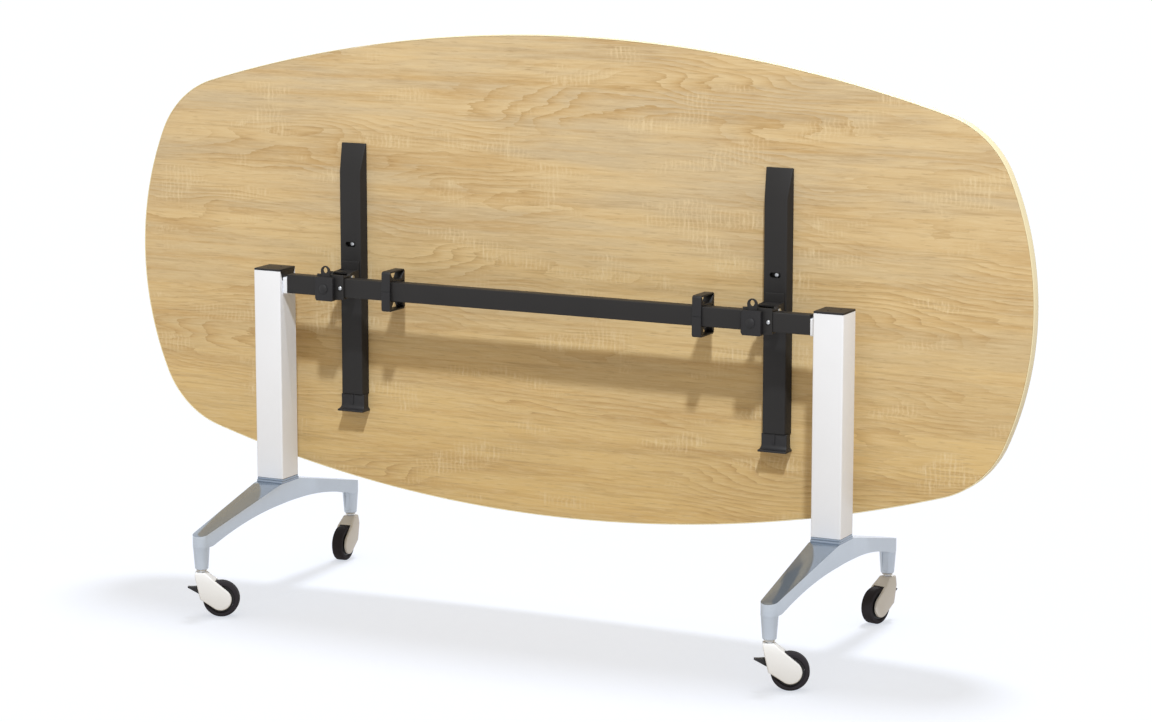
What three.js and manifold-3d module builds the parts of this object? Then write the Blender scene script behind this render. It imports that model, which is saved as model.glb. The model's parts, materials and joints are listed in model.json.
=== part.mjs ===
// Flip top training table in its folded state: an oval top on two arms that swing about a beam.
// The beam joins two columns, which stand on cast feet with braked swivel casters.
// Millimetres, +Z up, the floor at z = 0. The beam runs along X and the folded top stands at +Y.

import * as THREE from 'three';
import { mergeVertices } from 'three/addons/utils/BufferGeometryUtils.js';
import Module from 'manifold-3d';

const wasm = await Module();
wasm.setup();

// Fits
const seatGap = 0.3; // between fixed pieces that meet
const runningGap = 0.3; // round a pin, an axle or a stem
const slideGap = 0.5; // beside a flat piece that swings

// Table top
const topLength = 2040;
const topWidth = 1000;
const topThickness = 25;
const longSideRadius = 2920;
const endRadius = 673;
const cornerRadius = 199;
const bandThickness = 2;
const topOffset = 60; // underside from the flip axis

// Support arms
const armSpacing = 974;
const armBaseWidth = 60;
const armFaceWidth = 49;
const armDepth = 22;
const armWall = 2;
const armTopReach = 278; // above the flip axis when folded
const armBottomReach = 256; // below it
const armBevelLength = 60;
const armTipDepth = 4;
const accessHeight = 65; // access hole above the flip axis
const accessLength = 24; // the hole is oblong across the arm
const accessBreadth = 11;
const accessCorner = 5;
const accessDepth = 11;
const accessBossWall = 2.5;
const armScrewHeadRadius = 5.5;
const armScrewHeadHeight = 3.5;
const armScrewCrownRadius = 3.3;
const armScrewRadius = 2.2;
const armScrewBite = 14; // thread in the board

// Arm end bumpers
const bumperNeckHeight = 22;
const bumperNeckInset = 2.5;
const bumperFlareHeight = 14;
const bumperFlareWidth = 62;
const bumperLipReach = 9;
const bumperLipHeight = 4;
const bumperTongue = 20;

// Beam
const beamHeight = 40;
const beamDepth = 25;
const beamWall = 2;
const beamForward = 8; // beam centre in front of the column centres
const beamDrop = 26.2; // beam centre below the column tops

// Beam collars
const collarThickness = 10;
const collarMargin = 0.5; // in front of and behind the beam
const collarTopInset = 7; // below the beam's top
const collarFootMargin = 2; // below the beam's underside
const collarCorner = 3;
const collarSpigot = 20;

// Flip hinge
const pivotBehindBeam = 15.5;
const pivotAboveBeam = 15.5;
const pinDiameter = 8;
const pinHeadRadius = 6.5;
const pinHeadThickness = 2;
const saddleWall = 3;
const saddleMargin = 4; // front plate above and below the beam
const saddleArcDrop = 2.5;
const cheekHalfSpan = 26; // outer faces of the saddle cheeks from the arm centre
const cheekWall = 4;
const cheekRadius = 12;
const cheekFootDrop = 21.75; // lower edge of a cheek below the flip axis
const leafWall = 3;
const leafEarWall = 4;
const leafEarRadius = 11;
const leafHeight = 60;
const leafEarFoot = 26;
const saddleScrewOffset = 22;
const saddleScrewHeadRadius = 4.5;
const saddleScrewHeadHeight = 2.5;
const saddleScrewCrownRadius = 3.2;
const saddleScrewRadius = 2.5;
const saddleScrewLength = 7;

// Latches
const latchOffset = 11.5; // latch centre to the left of its arm
const latchDrop = 2.5; // latch centre below the beam centre
const latchWidth = 44;
const latchHeight = 50;
const latchDepth = 12;
const latchPocketDepth = 5;
const latchWall = 1.6;
const latchFloorWall = 11;
const latchCorner = 3;
const latchChamfer = 4.5;
const latchBevel = 3;
const leverThickness = 4;
const leverHubRadius = 11;
const leverTabWidth = 22;
const leverTabOffset = 0.5; // tab centre to the right of the rivet
const leverTabRise = 23; // tab above the housing
const eyeWidth = 10;
const eyeHeight = 12;
const eyeTopWall = 3.2;
const leverNoseReach = 14;
const leverNoseHeight = 8;
const rivetRadius = 4;
const rivetHeadRadius = 9.75;
const rivetHeadHeight = 4;

// Cable clips
const clipSpacing = 709;
const clipWidth = 20;
const clipHeight = 84;
const clipFrontWall = 5;
const clipWall = 3.5;
const clipBehind = 33.5; // back face behind the beam
const clipLip = 1; // lower half prouder at the front
const clipCorner = 6;
const clipWindowSlope = 11;
const clipWeb = 3;

// Columns
const columnSpacing = 1278;
const columnSide = 64;
const columnWall = 2.5;
const columnCorner = 3;
const columnInnerCorner = 1.5;
const columnHeight = 445.4;
const notchDepth = 20;
const notchFloorWidth = 44;
const capThickness = 4;
const capPlug = 22;
const footSpigot = 25;

// Feet
const footReach = 303; // post centre from column centre
const footRise = 60; // arm top at the column above the arm top at the post
const footStepHeight = 5;
const footStepOut = 3;
const footFilletOut = 5;
const footEndThickness = 24;
const footArchRise = 42;
const postHeight = 70.5;
const postTopDiameter = 35;
const postBottomDiameter = 27.5;
const postChamfer = 1.5;
const postGrooveWidth = 12;
const postGrooveDepth = 4;
const postGrooveMargin = 6;

// Casters
const wheelDiameter = 75;
const tyreWidth = 24;
const tyreDepth = 10;
const tyreShoulder = 3.5;
const hubRimWall = 4;
const hubWebThickness = 10;
const hubBossRadius = 9;
const axleDiameter = 8;
const axleSeat = 3;
const forkCheek = 5;
const forkCheekGap = 1;
const forkTrail = 40;
const forkEndRadius = 23;
const forkHeadRise = 17.5; // fork top above the tyre
const forkHeadFront = 9;
const forkHeadBack = 13;
const forkHeadWidth = 26;
const forkShoulderDrop = 18;
const forkNapeDrop = 6; // upright part of the head over the pedal
const hoodGap = 2.5;
const hoodWall = 2;
const stemRadius = 5;
const stemInsert = 31;
const stemCollarRadius = 8;
const stemCollarHeight = 6;
const swivelRadius = 4.5;
const swivelDepth = 13.5;
const pedalWidth = 12;
const pedalReach = 29.5; // tip from the swivel axis
const pedalPivotRise = 20.5; // pivot above the axle
const pedalHubRadius = 5;
const pedalPinRadius = 2.5;
const pedalPinSeat = 3;
const pedalTipRise = 2.5;
const pedalTipThickness = 2;
const pedalBendReach = 19.5; // where the upper face flattens
const pedalBellyReach = 17.7; // where the lower face bends
const pedalBellyDrop = 5; // that bend below the pivot
const pedalHeelReach = 5; // lowest point of the pedal
const pedalHeelDrop = 12;
const pedalRoom = 11; // hood opening above and below the pedal hub
const pedalRoomReach = 13.7; // hood opening behind the swivel axis
const nearTrailAngle = 24; // degrees from +X
const farLeftTrailAngle = -84;
const farRightTrailAngle = -103;

// Facets
const longSteps = 16;
const endSteps = 8;
const cornerSteps = 6;
const roundSteps = 24;
const smallSteps = 12;
const filletSteps = 2;
const domeSteps = 3;
const archSteps = 10;
const overrun = 1; // how far a cutting solid runs past the face it cuts
const weldDistance = 1e-4;

// Finishes: colour, roughness, metalness
const oakPrint = [0xd6bc8e, 0.5, 0];
const creamBand = [0xf2e6c4, 0.45, 0];
const blackSteel = [0x373434, 0.5, 0.3];
const blackPlastic = [0x2e2d2f, 0.6, 0];
const brightSteel = [0xc8c9cc, 0.3, 1];
const whitePaint = [0xecedf2, 0.45, 0];
const castAluminium = [0xb7c0ca, 0.35, 0.9];
const whitePlastic = [0xebe6e0, 0.4, 0];
const tyreRubber = [0x322f34, 0.75, 0];

// Heights above the floor
const wheelRadius = wheelDiameter / 2;
const forkTop = wheelDiameter + forkHeadRise;
const postBottom = forkTop + stemCollarHeight + 2 * seatGap;
const footEndTop = postBottom + postHeight;
const footArmTop = footEndTop + footRise;
const footTop = footArmTop + 2 * footStepHeight;
const columnBottom = footTop + seatGap;
const columnTop = columnBottom + columnHeight;
const beamZ = columnTop - beamDrop;
const pivotZ = beamZ + pivotAboveBeam;

// Places in depth, from the plane of the columns
const beamY = -beamForward;
const beamFront = beamY - beamDepth / 2;
const beamBack = beamY + beamDepth / 2;
const pivotY = beamBack + pivotBehindBeam;
const saddleFront = beamFront - seatGap - saddleWall;
const latchBack = saddleFront - seatGap;
const latchFront = latchBack - latchDepth;
const armFront = topOffset - armDepth; // from the flip axis
const armBase = topOffset - seatGap;

// Shapes from points

function shapeOf(points) {
  return new THREE.Shape(points.map(([x, y]) => new THREE.Vector2(x, y)));
}

function arcPoints(centre, radius, start, end, steps) {
  const points = [];
  for (let step = 0; step <= steps; step += 1) {
    const angle = start + ((end - start) * step) / steps;
    points.push([centre[0] + radius * Math.cos(angle), centre[1] + radius * Math.sin(angle)]);
  }
  return points;
}

function roundedRectangle(left, bottom, right, top, radius) {
  const corners = [
    [right - radius, top - radius],
    [left + radius, top - radius],
    [left + radius, bottom + radius],
    [right - radius, bottom + radius],
  ];
  const quarter = Math.PI / 2;
  return corners.flatMap((centre, index) =>
    arcPoints(centre, radius, index * quarter, (index + 1) * quarter, filletSteps));
}

function circlePoints(centre, radius, steps) {
  return arcPoints(centre, radius, 0, 2 * Math.PI, steps).slice(0, steps);
}

// The angle, seen from a circle's centre, at which a line from a point touches the circle.
function touchAngle(point, centre, radius, turn) {
  const across = point[0] - centre[0];
  const up = point[1] - centre[1];
  return Math.atan2(up, across) + turn * Math.acos(radius / Math.hypot(across, up));
}

// Solids from shapes

function solidOf(geometry) {
  const bare = new THREE.BufferGeometry();
  bare.setAttribute('position', geometry.getAttribute('position'));
  bare.setIndex(geometry.getIndex());
  const welded = mergeVertices(bare, weldDistance);
  const index = Array.from(welded.getIndex().array);
  const triangles = [];
  for (let start = 0; start < index.length; start += 3) {
    const corners = index.slice(start, start + 3);
    if (new Set(corners).size === 3) triangles.push(...corners);
  }
  return new wasm.Manifold(new wasm.Mesh({
    numProp: 3,
    vertProperties: new Float32Array(welded.getAttribute('position').array),
    triVerts: new Uint32Array(triangles),
  }));
}

function geometryOf(solid) {
  const mesh = solid.getMesh();
  const geometry = new THREE.BufferGeometry();
  geometry.setAttribute('position', new THREE.BufferAttribute(mesh.vertProperties, 3));
  geometry.setIndex(new THREE.BufferAttribute(mesh.triVerts, 1));
  geometry.computeVertexNormals();
  return geometry;
}

function extruded(points, depth, hole) {
  const shape = shapeOf(points);
  if (hole) shape.holes.push(shapeOf(hole));
  return new THREE.ExtrudeGeometry(shape, { depth, bevelEnabled: false });
}

// An outline drawn in (x, y) and raised from one height to another.
function raised(points, bottom, top, hole) {
  return solidOf(extruded(points, top - bottom, hole).translate(0, 0, bottom));
}

// An outline drawn in (x, z) and run back from one depth to another.
function runBack(points, front, back, hole) {
  const geometry = extruded(points, back - front, hole);
  return solidOf(geometry.rotateX(Math.PI / 2).translate(0, back, 0));
}

// An outline drawn in (y, z) and run across from one x to another.
function runAcross(points, left, right, hole) {
  const turn = new THREE.Matrix4().set(0, 0, 1, 0, 1, 0, 0, 0, 0, 1, 0, 0, 0, 0, 0, 1);
  return solidOf(extruded(points, right - left, hole).applyMatrix4(turn).translate(left, 0, 0));
}

// A profile of [radius, height] points turned about Z.
function turned(profile, steps) {
  const points = profile.map(([radius, height]) => new THREE.Vector2(radius, height));
  return solidOf(new THREE.LatheGeometry(points, steps).rotateX(Math.PI / 2));
}

function rod(radius, bottom, top) {
  return turned([[0, bottom], [radius, bottom], [radius, top], [0, top]], smallSteps);
}

// A solid turned about Z is laid along another axis, its upper end towards + on that axis.
function alongX(solid) {
  return solid.rotate([0, 90, 0]);
}

function alongY(solid) {
  return solid.rotate([-90, 0, 0]);
}

function joined(first, ...others) {
  return others.reduce((sum, other) => sum.add(other), first);
}

function cut(first, ...tools) {
  return tools.reduce((rest, tool) => rest.subtract(tool), first);
}

function piece(name, solid, [color, roughness, metalness]) {
  const material = new THREE.MeshStandardMaterial({ color, roughness, metalness });
  const mesh = new THREE.Mesh(geometryOf(solid), material);
  mesh.name = name;
  return mesh;
}

// Table top, in the frame of the flip axis

// Two long arcs and two end arcs, with a corner arc that touches each pair from inside.
function topOutline(inset) {
  const longCentre = [0, topWidth / 2 - longSideRadius];
  const endCentre = [topLength / 2 - endRadius, 0];
  const toCorner = longSideRadius - cornerRadius;
  const apart = Math.hypot(endCentre[0], longCentre[1]);
  const lean = (toCorner ** 2 + apart ** 2 - (endRadius - cornerRadius) ** 2) / (2 * toCorner * apart);
  const longAngle = Math.atan2(-longCentre[1], endCentre[0]) - Math.acos(lean);
  const corner = [toCorner * Math.cos(longAngle), longCentre[1] + toCorner * Math.sin(longAngle)];
  const farCorner = [-corner[0], corner[1]];
  const endAngle = Math.atan2(corner[1], corner[0] - endCentre[0]);
  const half = [
    [endCentre, endRadius, -endAngle, endAngle, endSteps],
    [corner, cornerRadius, endAngle, longAngle, cornerSteps],
    [longCentre, longSideRadius, longAngle, Math.PI - longAngle, longSteps],
    [farCorner, cornerRadius, Math.PI - longAngle, Math.PI - endAngle, cornerSteps],
  ].flatMap(([centre, radius, start, end, steps]) =>
    arcPoints(centre, radius - inset, start, end, steps).slice(0, steps));
  const points = [...half, ...half.map(([x, z]) => [-x, -z])];
  return points.map(([x, z]) => [x, z + pivotY]);
}

function boardSolid() {
  const board = runBack(topOutline(bandThickness + seatGap), topOffset, topOffset + topThickness);
  const pilot = alongY(rod(armScrewRadius + seatGap, topOffset - overrun, topOffset + armScrewBite));
  const places = [-armSpacing / 2, armSpacing / 2];
  return cut(board, ...places.map((x) => pilot.translate([x, 0, accessHeight])));
}

function edgeBandSolid() {
  return runBack(topOutline(0), topOffset, topOffset + topThickness, topOutline(bandThickness));
}

// Support arms, in the frame of the flip axis with x from the arm centre

// A channel section open towards the board, narrowing to its front face.
function armSection(inset, base) {
  const slope = (armBaseWidth - armFaceWidth) / 2 / armDepth;
  const face = armFront + inset;
  const faceHalf = armFaceWidth / 2 + slope * inset - inset;
  const baseHalf = faceHalf + slope * (base - face);
  return [[-faceHalf, face], [faceHalf, face], [baseHalf, base], [-baseHalf, base]];
}

function armSide(inset, base, bottom) {
  const face = armFront + inset;
  const tip = armBase - armTipDepth + inset;
  return [
    [face, bottom], [base, bottom], [base, armTopReach + inset],
    [tip, armTopReach + inset], [face, armTopReach - armBevelLength],
  ];
}

function armBlock(inset, base) {
  const bottom = -armBottomReach - inset;
  const section = raised(armSection(inset, base), bottom, armTopReach + inset);
  return section.intersect(runAcross(armSide(inset, base, bottom), -armBaseWidth, armBaseWidth));
}

// The oblong access hole in (x, z), grown by a margin.
function accessOutline(margin) {
  const across = accessLength / 2 + margin;
  const up = accessBreadth / 2 + margin;
  return roundedRectangle(-across, accessHeight - up, across, accessHeight + up, accessCorner + margin);
}

function armSolid() {
  const floor = armFront + accessDepth;
  const boss = runBack(accessOutline(accessBossWall), armFront + armWall / 2, armBase);
  const recess = runBack(accessOutline(0), armFront - overrun, floor);
  const screwHole = alongY(rod(armScrewRadius + seatGap, armFront, topOffset + overrun));
  const shell = cut(armBlock(0, armBase), armBlock(armWall, topOffset + overrun));
  return cut(joined(shell, boss), recess, screwHole.translate([0, 0, accessHeight]));
}

function armScrewSolid() {
  const seat = armFront + accessDepth - seatGap;
  const end = topOffset + armScrewBite - seatGap;
  const face = seat - armScrewHeadHeight;
  const profile = [
    [0, face], [armScrewCrownRadius, face], [armScrewHeadRadius, seat - armScrewHeadHeight / 2],
    [armScrewHeadRadius, seat], [armScrewRadius, seat], [armScrewRadius, end], [0, end],
  ];
  return alongY(turned(profile, smallSteps)).translate([0, 0, accessHeight]);
}

function bumperSolid() {
  const neckTop = -armBottomReach - seatGap;
  const neckBottom = neckTop - bumperNeckHeight;
  const tip = neckBottom - bumperFlareHeight;
  const neckHalf = armBaseWidth / 2 - bumperNeckInset;
  const flareHalf = bumperFlareWidth / 2;
  const neckFront = armFront + bumperNeckInset;
  const lipFront = armFront - bumperLipReach;
  const neck = raised(
    [[-neckHalf, neckFront], [neckHalf, neckFront], [neckHalf, armBase], [-neckHalf, armBase]],
    neckBottom, neckTop,
  );
  const tongueSection = armSection(armWall + seatGap, armBase);
  const tongue = raised(tongueSection, neckTop - overrun, neckTop + bumperTongue);
  const flareSide = [
    [lipFront, tip], [armBase, tip], [armBase, neckBottom], [neckFront, neckBottom],
    [lipFront, tip + bumperLipHeight],
  ];
  const flareFace = [
    [-flareHalf, tip], [flareHalf, tip], [flareHalf, tip + bumperLipHeight],
    [neckHalf, neckBottom], [-neckHalf, neckBottom], [-flareHalf, tip + bumperLipHeight],
  ];
  const flare = runAcross(flareSide, -flareHalf, flareHalf)
    .intersect(runBack(flareFace, lipFront - overrun, topOffset));
  return joined(neck, tongue, flare);
}

// Flip hinge, in the frame of the flip axis with x from the arm centre

// A plate outline from a round end about the axis to a straight foot.
function earOutline(radius, footY, footLow, footHigh) {
  const turn = Math.sign(footY);
  const low = touchAngle([footY, footLow], [0, 0], radius, -turn);
  const high = touchAngle([footY, footHigh], [0, 0], radius, turn);
  const sweep = (low - high + 4 * Math.PI * turn) % (2 * Math.PI);
  const round = arcPoints([0, 0], radius, high, high + sweep, smallSteps);
  return [[footY, footHigh], ...round, [footY, footLow]];
}

function pinBore() {
  return alongX(rod(pinDiameter / 2 + runningGap, -armBaseWidth, armBaseWidth));
}

function leafSolid() {
  const back = armFront - seatGap;
  const front = back - leafWall;
  const half = cheekHalfSpan - cheekWall - slideGap;
  const plate = raised(
    [[-half, front], [half, front], [half, back], [-half, back]],
    -leafHeight / 2, leafHeight / 2,
  );
  const outline = earOutline(leafEarRadius, back - leafWall / 2, -leafEarFoot / 2, leafEarFoot / 2);
  const rightEar = runAcross(outline, half - leafEarWall, half);
  const leftEar = runAcross(outline, -half, leafEarWall - half);
  const webLow = leafEarRadius - leafWall;
  const web = runAcross([
    [0, webLow], [back - leafWall / 2, webLow], [back - leafWall / 2, leafEarRadius], [0, leafEarRadius],
  ], -half, half);
  return cut(joined(plate, rightEar, leftEar, web), pinBore());
}

function hingePinSolid() {
  const neck = cheekHalfSpan + seatGap;
  const end = neck + pinHeadThickness;
  const radius = pinDiameter / 2;
  return alongX(turned([
    [0, -end], [pinHeadRadius, -end], [pinHeadRadius, -neck], [radius, -neck],
    [radius, neck], [pinHeadRadius, neck], [pinHeadRadius, end], [0, end],
  ], smallSteps));
}

function saddleSolid() {
  const half = armBaseWidth / 2;
  const inner = beamOutline(seatGap);
  const sleeve = runAcross(beamOutline(seatGap + saddleWall), -half, half, inner);
  const plateTop = beamHeight / 2 + saddleMargin;
  const plateLeft = -latchOffset - latchWidth / 2;
  const plate = runBack([
    [plateLeft, -plateTop], [0, -plateTop - saddleArcDrop], [half, -plateTop],
    [half, plateTop], [plateLeft, plateTop],
  ], saddleFront, beamFront - seatGap).translate([0, 0, beamZ]);
  const footY = beamBack + seatGap + saddleWall / 2 - pivotY;
  const footHigh = beamHeight / 2 - pivotAboveBeam;
  const outline = earOutline(cheekRadius, footY, -cheekFootDrop, footHigh);
  const cheeks = [cheekWall - cheekHalfSpan, cheekHalfSpan].map((right) =>
    runAcross(outline, right - cheekWall, right).translate([0, pivotY, pivotZ]));
  const bore = pinBore().translate([0, pivotY, pivotZ]);
  const rivetBore = alongY(rod(rivetRadius + seatGap, saddleFront - overrun, beamFront));
  const screwBore = alongY(rod(saddleScrewRadius + seatGap, saddleFront - overrun, beamFront));
  return cut(
    joined(sleeve, plate, ...cheeks), bore,
    rivetBore.translate([-latchOffset, 0, beamZ - latchDrop]),
    screwBore.translate([saddleScrewOffset, 0, beamZ]),
  );
}

function saddleScrewSolid() {
  const seat = saddleFront - seatGap;
  const face = seat - saddleScrewHeadHeight;
  const end = saddleFront + saddleScrewLength;
  const profile = [
    [0, face], [saddleScrewCrownRadius, face], [saddleScrewHeadRadius, seat - saddleScrewHeadHeight / 2],
    [saddleScrewHeadRadius, seat], [saddleScrewRadius, seat], [saddleScrewRadius, end], [0, end],
  ];
  return alongY(turned(profile, smallSteps)).translate([saddleScrewOffset, 0, beamZ]);
}

// Latches, with x and z from the rivet

function latchHousingSolid() {
  const half = latchWidth / 2;
  const top = latchHeight / 2;
  const outline = [
    ...arcPoints([half - latchCorner, top - latchCorner], latchCorner, 0, Math.PI / 2, filletSteps),
    ...arcPoints([latchCorner - half, top - latchCorner], latchCorner, Math.PI / 2, Math.PI, filletSteps),
    [-half, latchChamfer - top], [latchChamfer - half, -top],
    ...arcPoints([half - latchCorner, latchCorner - top], latchCorner, -Math.PI / 2, 0, filletSteps),
  ];
  const bevelBack = latchFront + latchBevel;
  const bevel = raised([
    [-half - overrun, latchFront - overrun], [latchBevel - half, latchFront - overrun],
    [latchBevel - half, latchFront], [-half, bevelBack], [-half - overrun, bevelBack],
  ], -latchHeight, latchHeight);
  const room = half - latchWall;
  const pocket = runBack([
    [-room, latchFloorWall - top], [room, latchFloorWall - top],
    [room, top + overrun], [-room, top + overrun],
  ], latchBack - latchPocketDepth, latchBack + overrun);
  const bore = alongY(rod(rivetRadius + seatGap, latchFront - overrun, latchBack));
  return cut(runBack(outline, latchFront, latchBack), bevel, pocket, bore);
}

function latchLeverSolid() {
  const front = latchBack - (latchPocketDepth + leverThickness) / 2;
  const tabHalf = leverTabWidth / 2;
  const tabLeft = leverTabOffset - tabHalf;
  const tabTop = latchHeight / 2 + leverTabRise;
  const hub = circlePoints([0, 0], leverHubRadius, smallSteps);
  const tab = [
    [tabLeft, 0], [tabLeft + leverTabWidth, 0],
    ...arcPoints([leverTabOffset, tabTop - tabHalf], tabHalf, 0, Math.PI, smallSteps / 2),
  ];
  const nose = [
    [0, -leverNoseHeight / 2], [leverNoseReach, -leverNoseHeight / 2],
    [leverNoseReach, 0], [0, leverNoseHeight / 2],
  ];
  const eyeCentre = tabTop - eyeTopWall - eyeHeight / 2;
  const eye = circlePoints([0, 0], 1, smallSteps)
    .map(([x, z]) => [leverTabOffset + x * eyeWidth / 2, eyeCentre + z * eyeHeight / 2]);
  const plates = [hub, tab, nose].map((points) => runBack(points, front, front + leverThickness));
  const bore = alongY(rod(rivetRadius + runningGap, latchFront, latchBack));
  return cut(joined(...plates), runBack(eye, latchFront, latchBack), bore);
}

function latchRivetSolid() {
  const seat = latchFront - seatGap;
  const end = beamFront - seatGap;
  const domeRadius = (rivetHeadRadius ** 2 + rivetHeadHeight ** 2) / (2 * rivetHeadHeight);
  const domeCentre = [0, seat - rivetHeadHeight + domeRadius];
  const edgeAngle = Math.asin(rivetHeadRadius / domeRadius);
  const down = -Math.PI / 2;
  const dome = arcPoints(domeCentre, domeRadius, down, down + edgeAngle, domeSteps).slice(1);
  const tip = [0, seat - rivetHeadHeight];
  return alongY(turned([
    tip, ...dome, [rivetRadius, seat], [rivetRadius, end], [0, end],
  ], smallSteps));
}

// Beam, collars and cable clips

// The beam's outline in (y, z) about its centre height, grown or shrunk by a margin.
function beamOutline(margin) {
  const low = beamZ - beamHeight / 2 - margin;
  const high = beamZ + beamHeight / 2 + margin;
  return [
    [beamFront - margin, low], [beamBack + margin, low],
    [beamBack + margin, high], [beamFront - margin, high],
  ];
}

function collarFace() {
  return columnSpacing / 2 - columnSide / 2 - seatGap;
}

function beamSolid() {
  const half = collarFace() - collarThickness - seatGap;
  const tube = runAcross(beamOutline(0), -half, half, beamOutline(-beamWall));
  const wallBack = beamFront + beamWall;
  const bore = alongY(rod(saddleScrewRadius + seatGap, beamFront - overrun, wallBack + overrun));
  const places = [-armSpacing / 2, armSpacing / 2].map((x) => x + saddleScrewOffset);
  return cut(tube, ...places.map((x) => bore.translate([x, 0, beamZ])));
}

// A plate against the right column (+1) or the left one (-1), with a spigot in the beam's end.
function collarSolid(sign) {
  const face = collarFace();
  const inner = face - collarThickness;
  const low = beamZ - beamHeight / 2 - collarFootMargin;
  const high = beamZ + beamHeight / 2 - collarTopInset;
  const front = beamFront - collarMargin;
  const back = beamBack + collarMargin;
  const plate = runAcross(roundedRectangle(front, low, back, high, collarCorner), inner, face);
  const spigot = runAcross(beamOutline(-beamWall - seatGap), inner - collarSpigot, inner + overrun);
  const right = joined(plate, spigot);
  return sign > 0 ? right : right.mirror([1, 0, 0]);
}

// One snap half, above (+1) or below (-1) the beam centre. It grips half the beam and has a window.
function clipHalfSolid(side) {
  const seam = seatGap / 2;
  const high = clipHeight / 2;
  const front = beamFront - seatGap - clipFrontWall - (side < 0 ? clipLip : 0);
  const back = beamBack + clipBehind;
  const gripFront = beamFront - seatGap;
  const gripBack = beamBack + seatGap;
  const gripHigh = beamHeight / 2 + seatGap;
  const rearFront = gripBack + clipWall;
  const rearBack = back - clipWall;
  const outline = [
    [front, seam],
    ...arcPoints([front + clipCorner, high - clipCorner], clipCorner, Math.PI, Math.PI / 2, filletSteps),
    ...arcPoints([back - clipCorner, high - clipCorner], clipCorner, Math.PI / 2, 0, filletSteps),
    [back, seam], [rearBack, seam], [rearBack, gripHigh - clipWeb], [rearFront, gripHigh - clipWeb],
    [rearFront, seam], [gripBack, seam], [gripBack, gripHigh], [gripFront, gripHigh], [gripFront, seam],
  ];
  const windowLow = gripHigh + clipWeb;
  const windowHigh = high - clipWall;
  const window = [
    [gripFront + clipWindowSlope, windowLow], [rearBack - clipWindowSlope, windowLow],
    [rearBack, windowHigh], [gripFront, windowHigh],
  ];
  const place = ([y, z]) => [y, beamZ + side * z];
  return runAcross(outline.map(place), -clipWidth / 2, clipWidth / 2, window.map(place));
}

// Columns, caps and feet, in the frame of the left column

function columnOutline(inset) {
  const half = columnSide / 2 - inset;
  const corner = inset > 0 ? columnInnerCorner : columnCorner;
  return roundedRectangle(-half, -half, half, half, corner);
}

// The notch in the column's inner wall, which the cap's tongue fills.
function notchOutline(gap) {
  const topHalf = columnSide / 2 - columnCorner - gap;
  const floorHalf = notchFloorWidth / 2 - gap;
  const floor = columnTop - notchDepth + gap;
  return [
    [-floorHalf, floor], [floorHalf, floor], [topHalf, columnTop],
    [topHalf, columnTop + overrun], [-topHalf, columnTop + overrun], [-topHalf, columnTop],
  ];
}

function columnSolid() {
  const tube = raised(columnOutline(0), columnBottom, columnTop, columnOutline(columnWall));
  const wallFace = columnSide / 2;
  return cut(tube, runAcross(notchOutline(0), wallFace - columnWall - overrun, wallFace + overrun));
}

function capSolid() {
  const plateLow = columnTop + seatGap;
  const inner = columnSide / 2 - columnWall - seatGap;
  return joined(
    raised(columnOutline(0), plateLow, plateLow + capThickness),
    raised(columnOutline(columnWall + seatGap), columnTop - capPlug, plateLow + overrun),
    runAcross(notchOutline(seatGap), inner - overrun, columnSide / 2),
  );
}

// The foot's side view: stepped under the column, sloping to its ends, arched below.
function footSide() {
  const collar = columnSide / 2;
  const step = collar + footStepOut;
  const slopeStart = step + footFilletOut;
  const end = footReach + postTopDiameter / 2;
  const archHalf = footReach - postTopDiameter / 2 + overrun;
  const archFoot = footEndTop - footEndThickness;
  const archRadius = (archHalf ** 2 + footArchRise ** 2) / (2 * footArchRise);
  const archAngle = Math.asin(archHalf / archRadius);
  const archCentre = [0, archFoot + footArchRise - archRadius];
  const upper = Math.PI / 2;
  const half = [
    [collar, footTop], [collar, footTop - footStepHeight], [step, footTop - footStepHeight],
    [step, footArmTop + footStepHeight / 2], [slopeStart, footArmTop], [end, footEndTop], [end, archFoot],
  ];
  const arch = arcPoints(archCentre, archRadius, upper - archAngle, upper + archAngle, archSteps);
  const mirrored = half.map(([y, z]) => [-y, z]).reverse();
  return [...half, ...arch, ...mirrored];
}

// The foot's plan: as wide as the column, narrowing to a round end at each post.
function footPlan() {
  const half = columnSide / 2;
  const shoulder = [half, half + footStepOut + footFilletOut];
  const endCentre = [0, footReach];
  const endRadiusHere = postTopDiameter / 2;
  const touch = touchAngle(shoulder, endCentre, endRadiusHere, 1);
  const round = arcPoints(endCentre, endRadiusHere, touch, Math.PI - touch, smallSteps);
  const far = [shoulder, ...round, [-shoulder[0], shoulder[1]]];
  return [...far, ...far.map(([x, y]) => [-x, -y])];
}

function postSolid() {
  const top = footEndTop - footEndThickness / 2;
  const full = footEndTop - footEndThickness;
  const foot = postBottomDiameter / 2;
  const post = turned([
    [0, postBottom], [foot - postChamfer, postBottom], [foot, postBottom + postChamfer],
    [postTopDiameter / 2, full], [postTopDiameter / 2, top], [0, top],
  ], roundSteps);
  const grooveHalf = postGrooveWidth / 2;
  const grooveFloor = postGrooveDepth - postTopDiameter / 2;
  const groove = raised([
    [-grooveHalf, -postTopDiameter], [grooveHalf, -postTopDiameter],
    [grooveHalf, grooveFloor], [-grooveHalf, grooveFloor],
  ], postBottom + postGrooveMargin, full);
  return cut(post, groove).translate([0, footReach, 0]);
}

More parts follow.
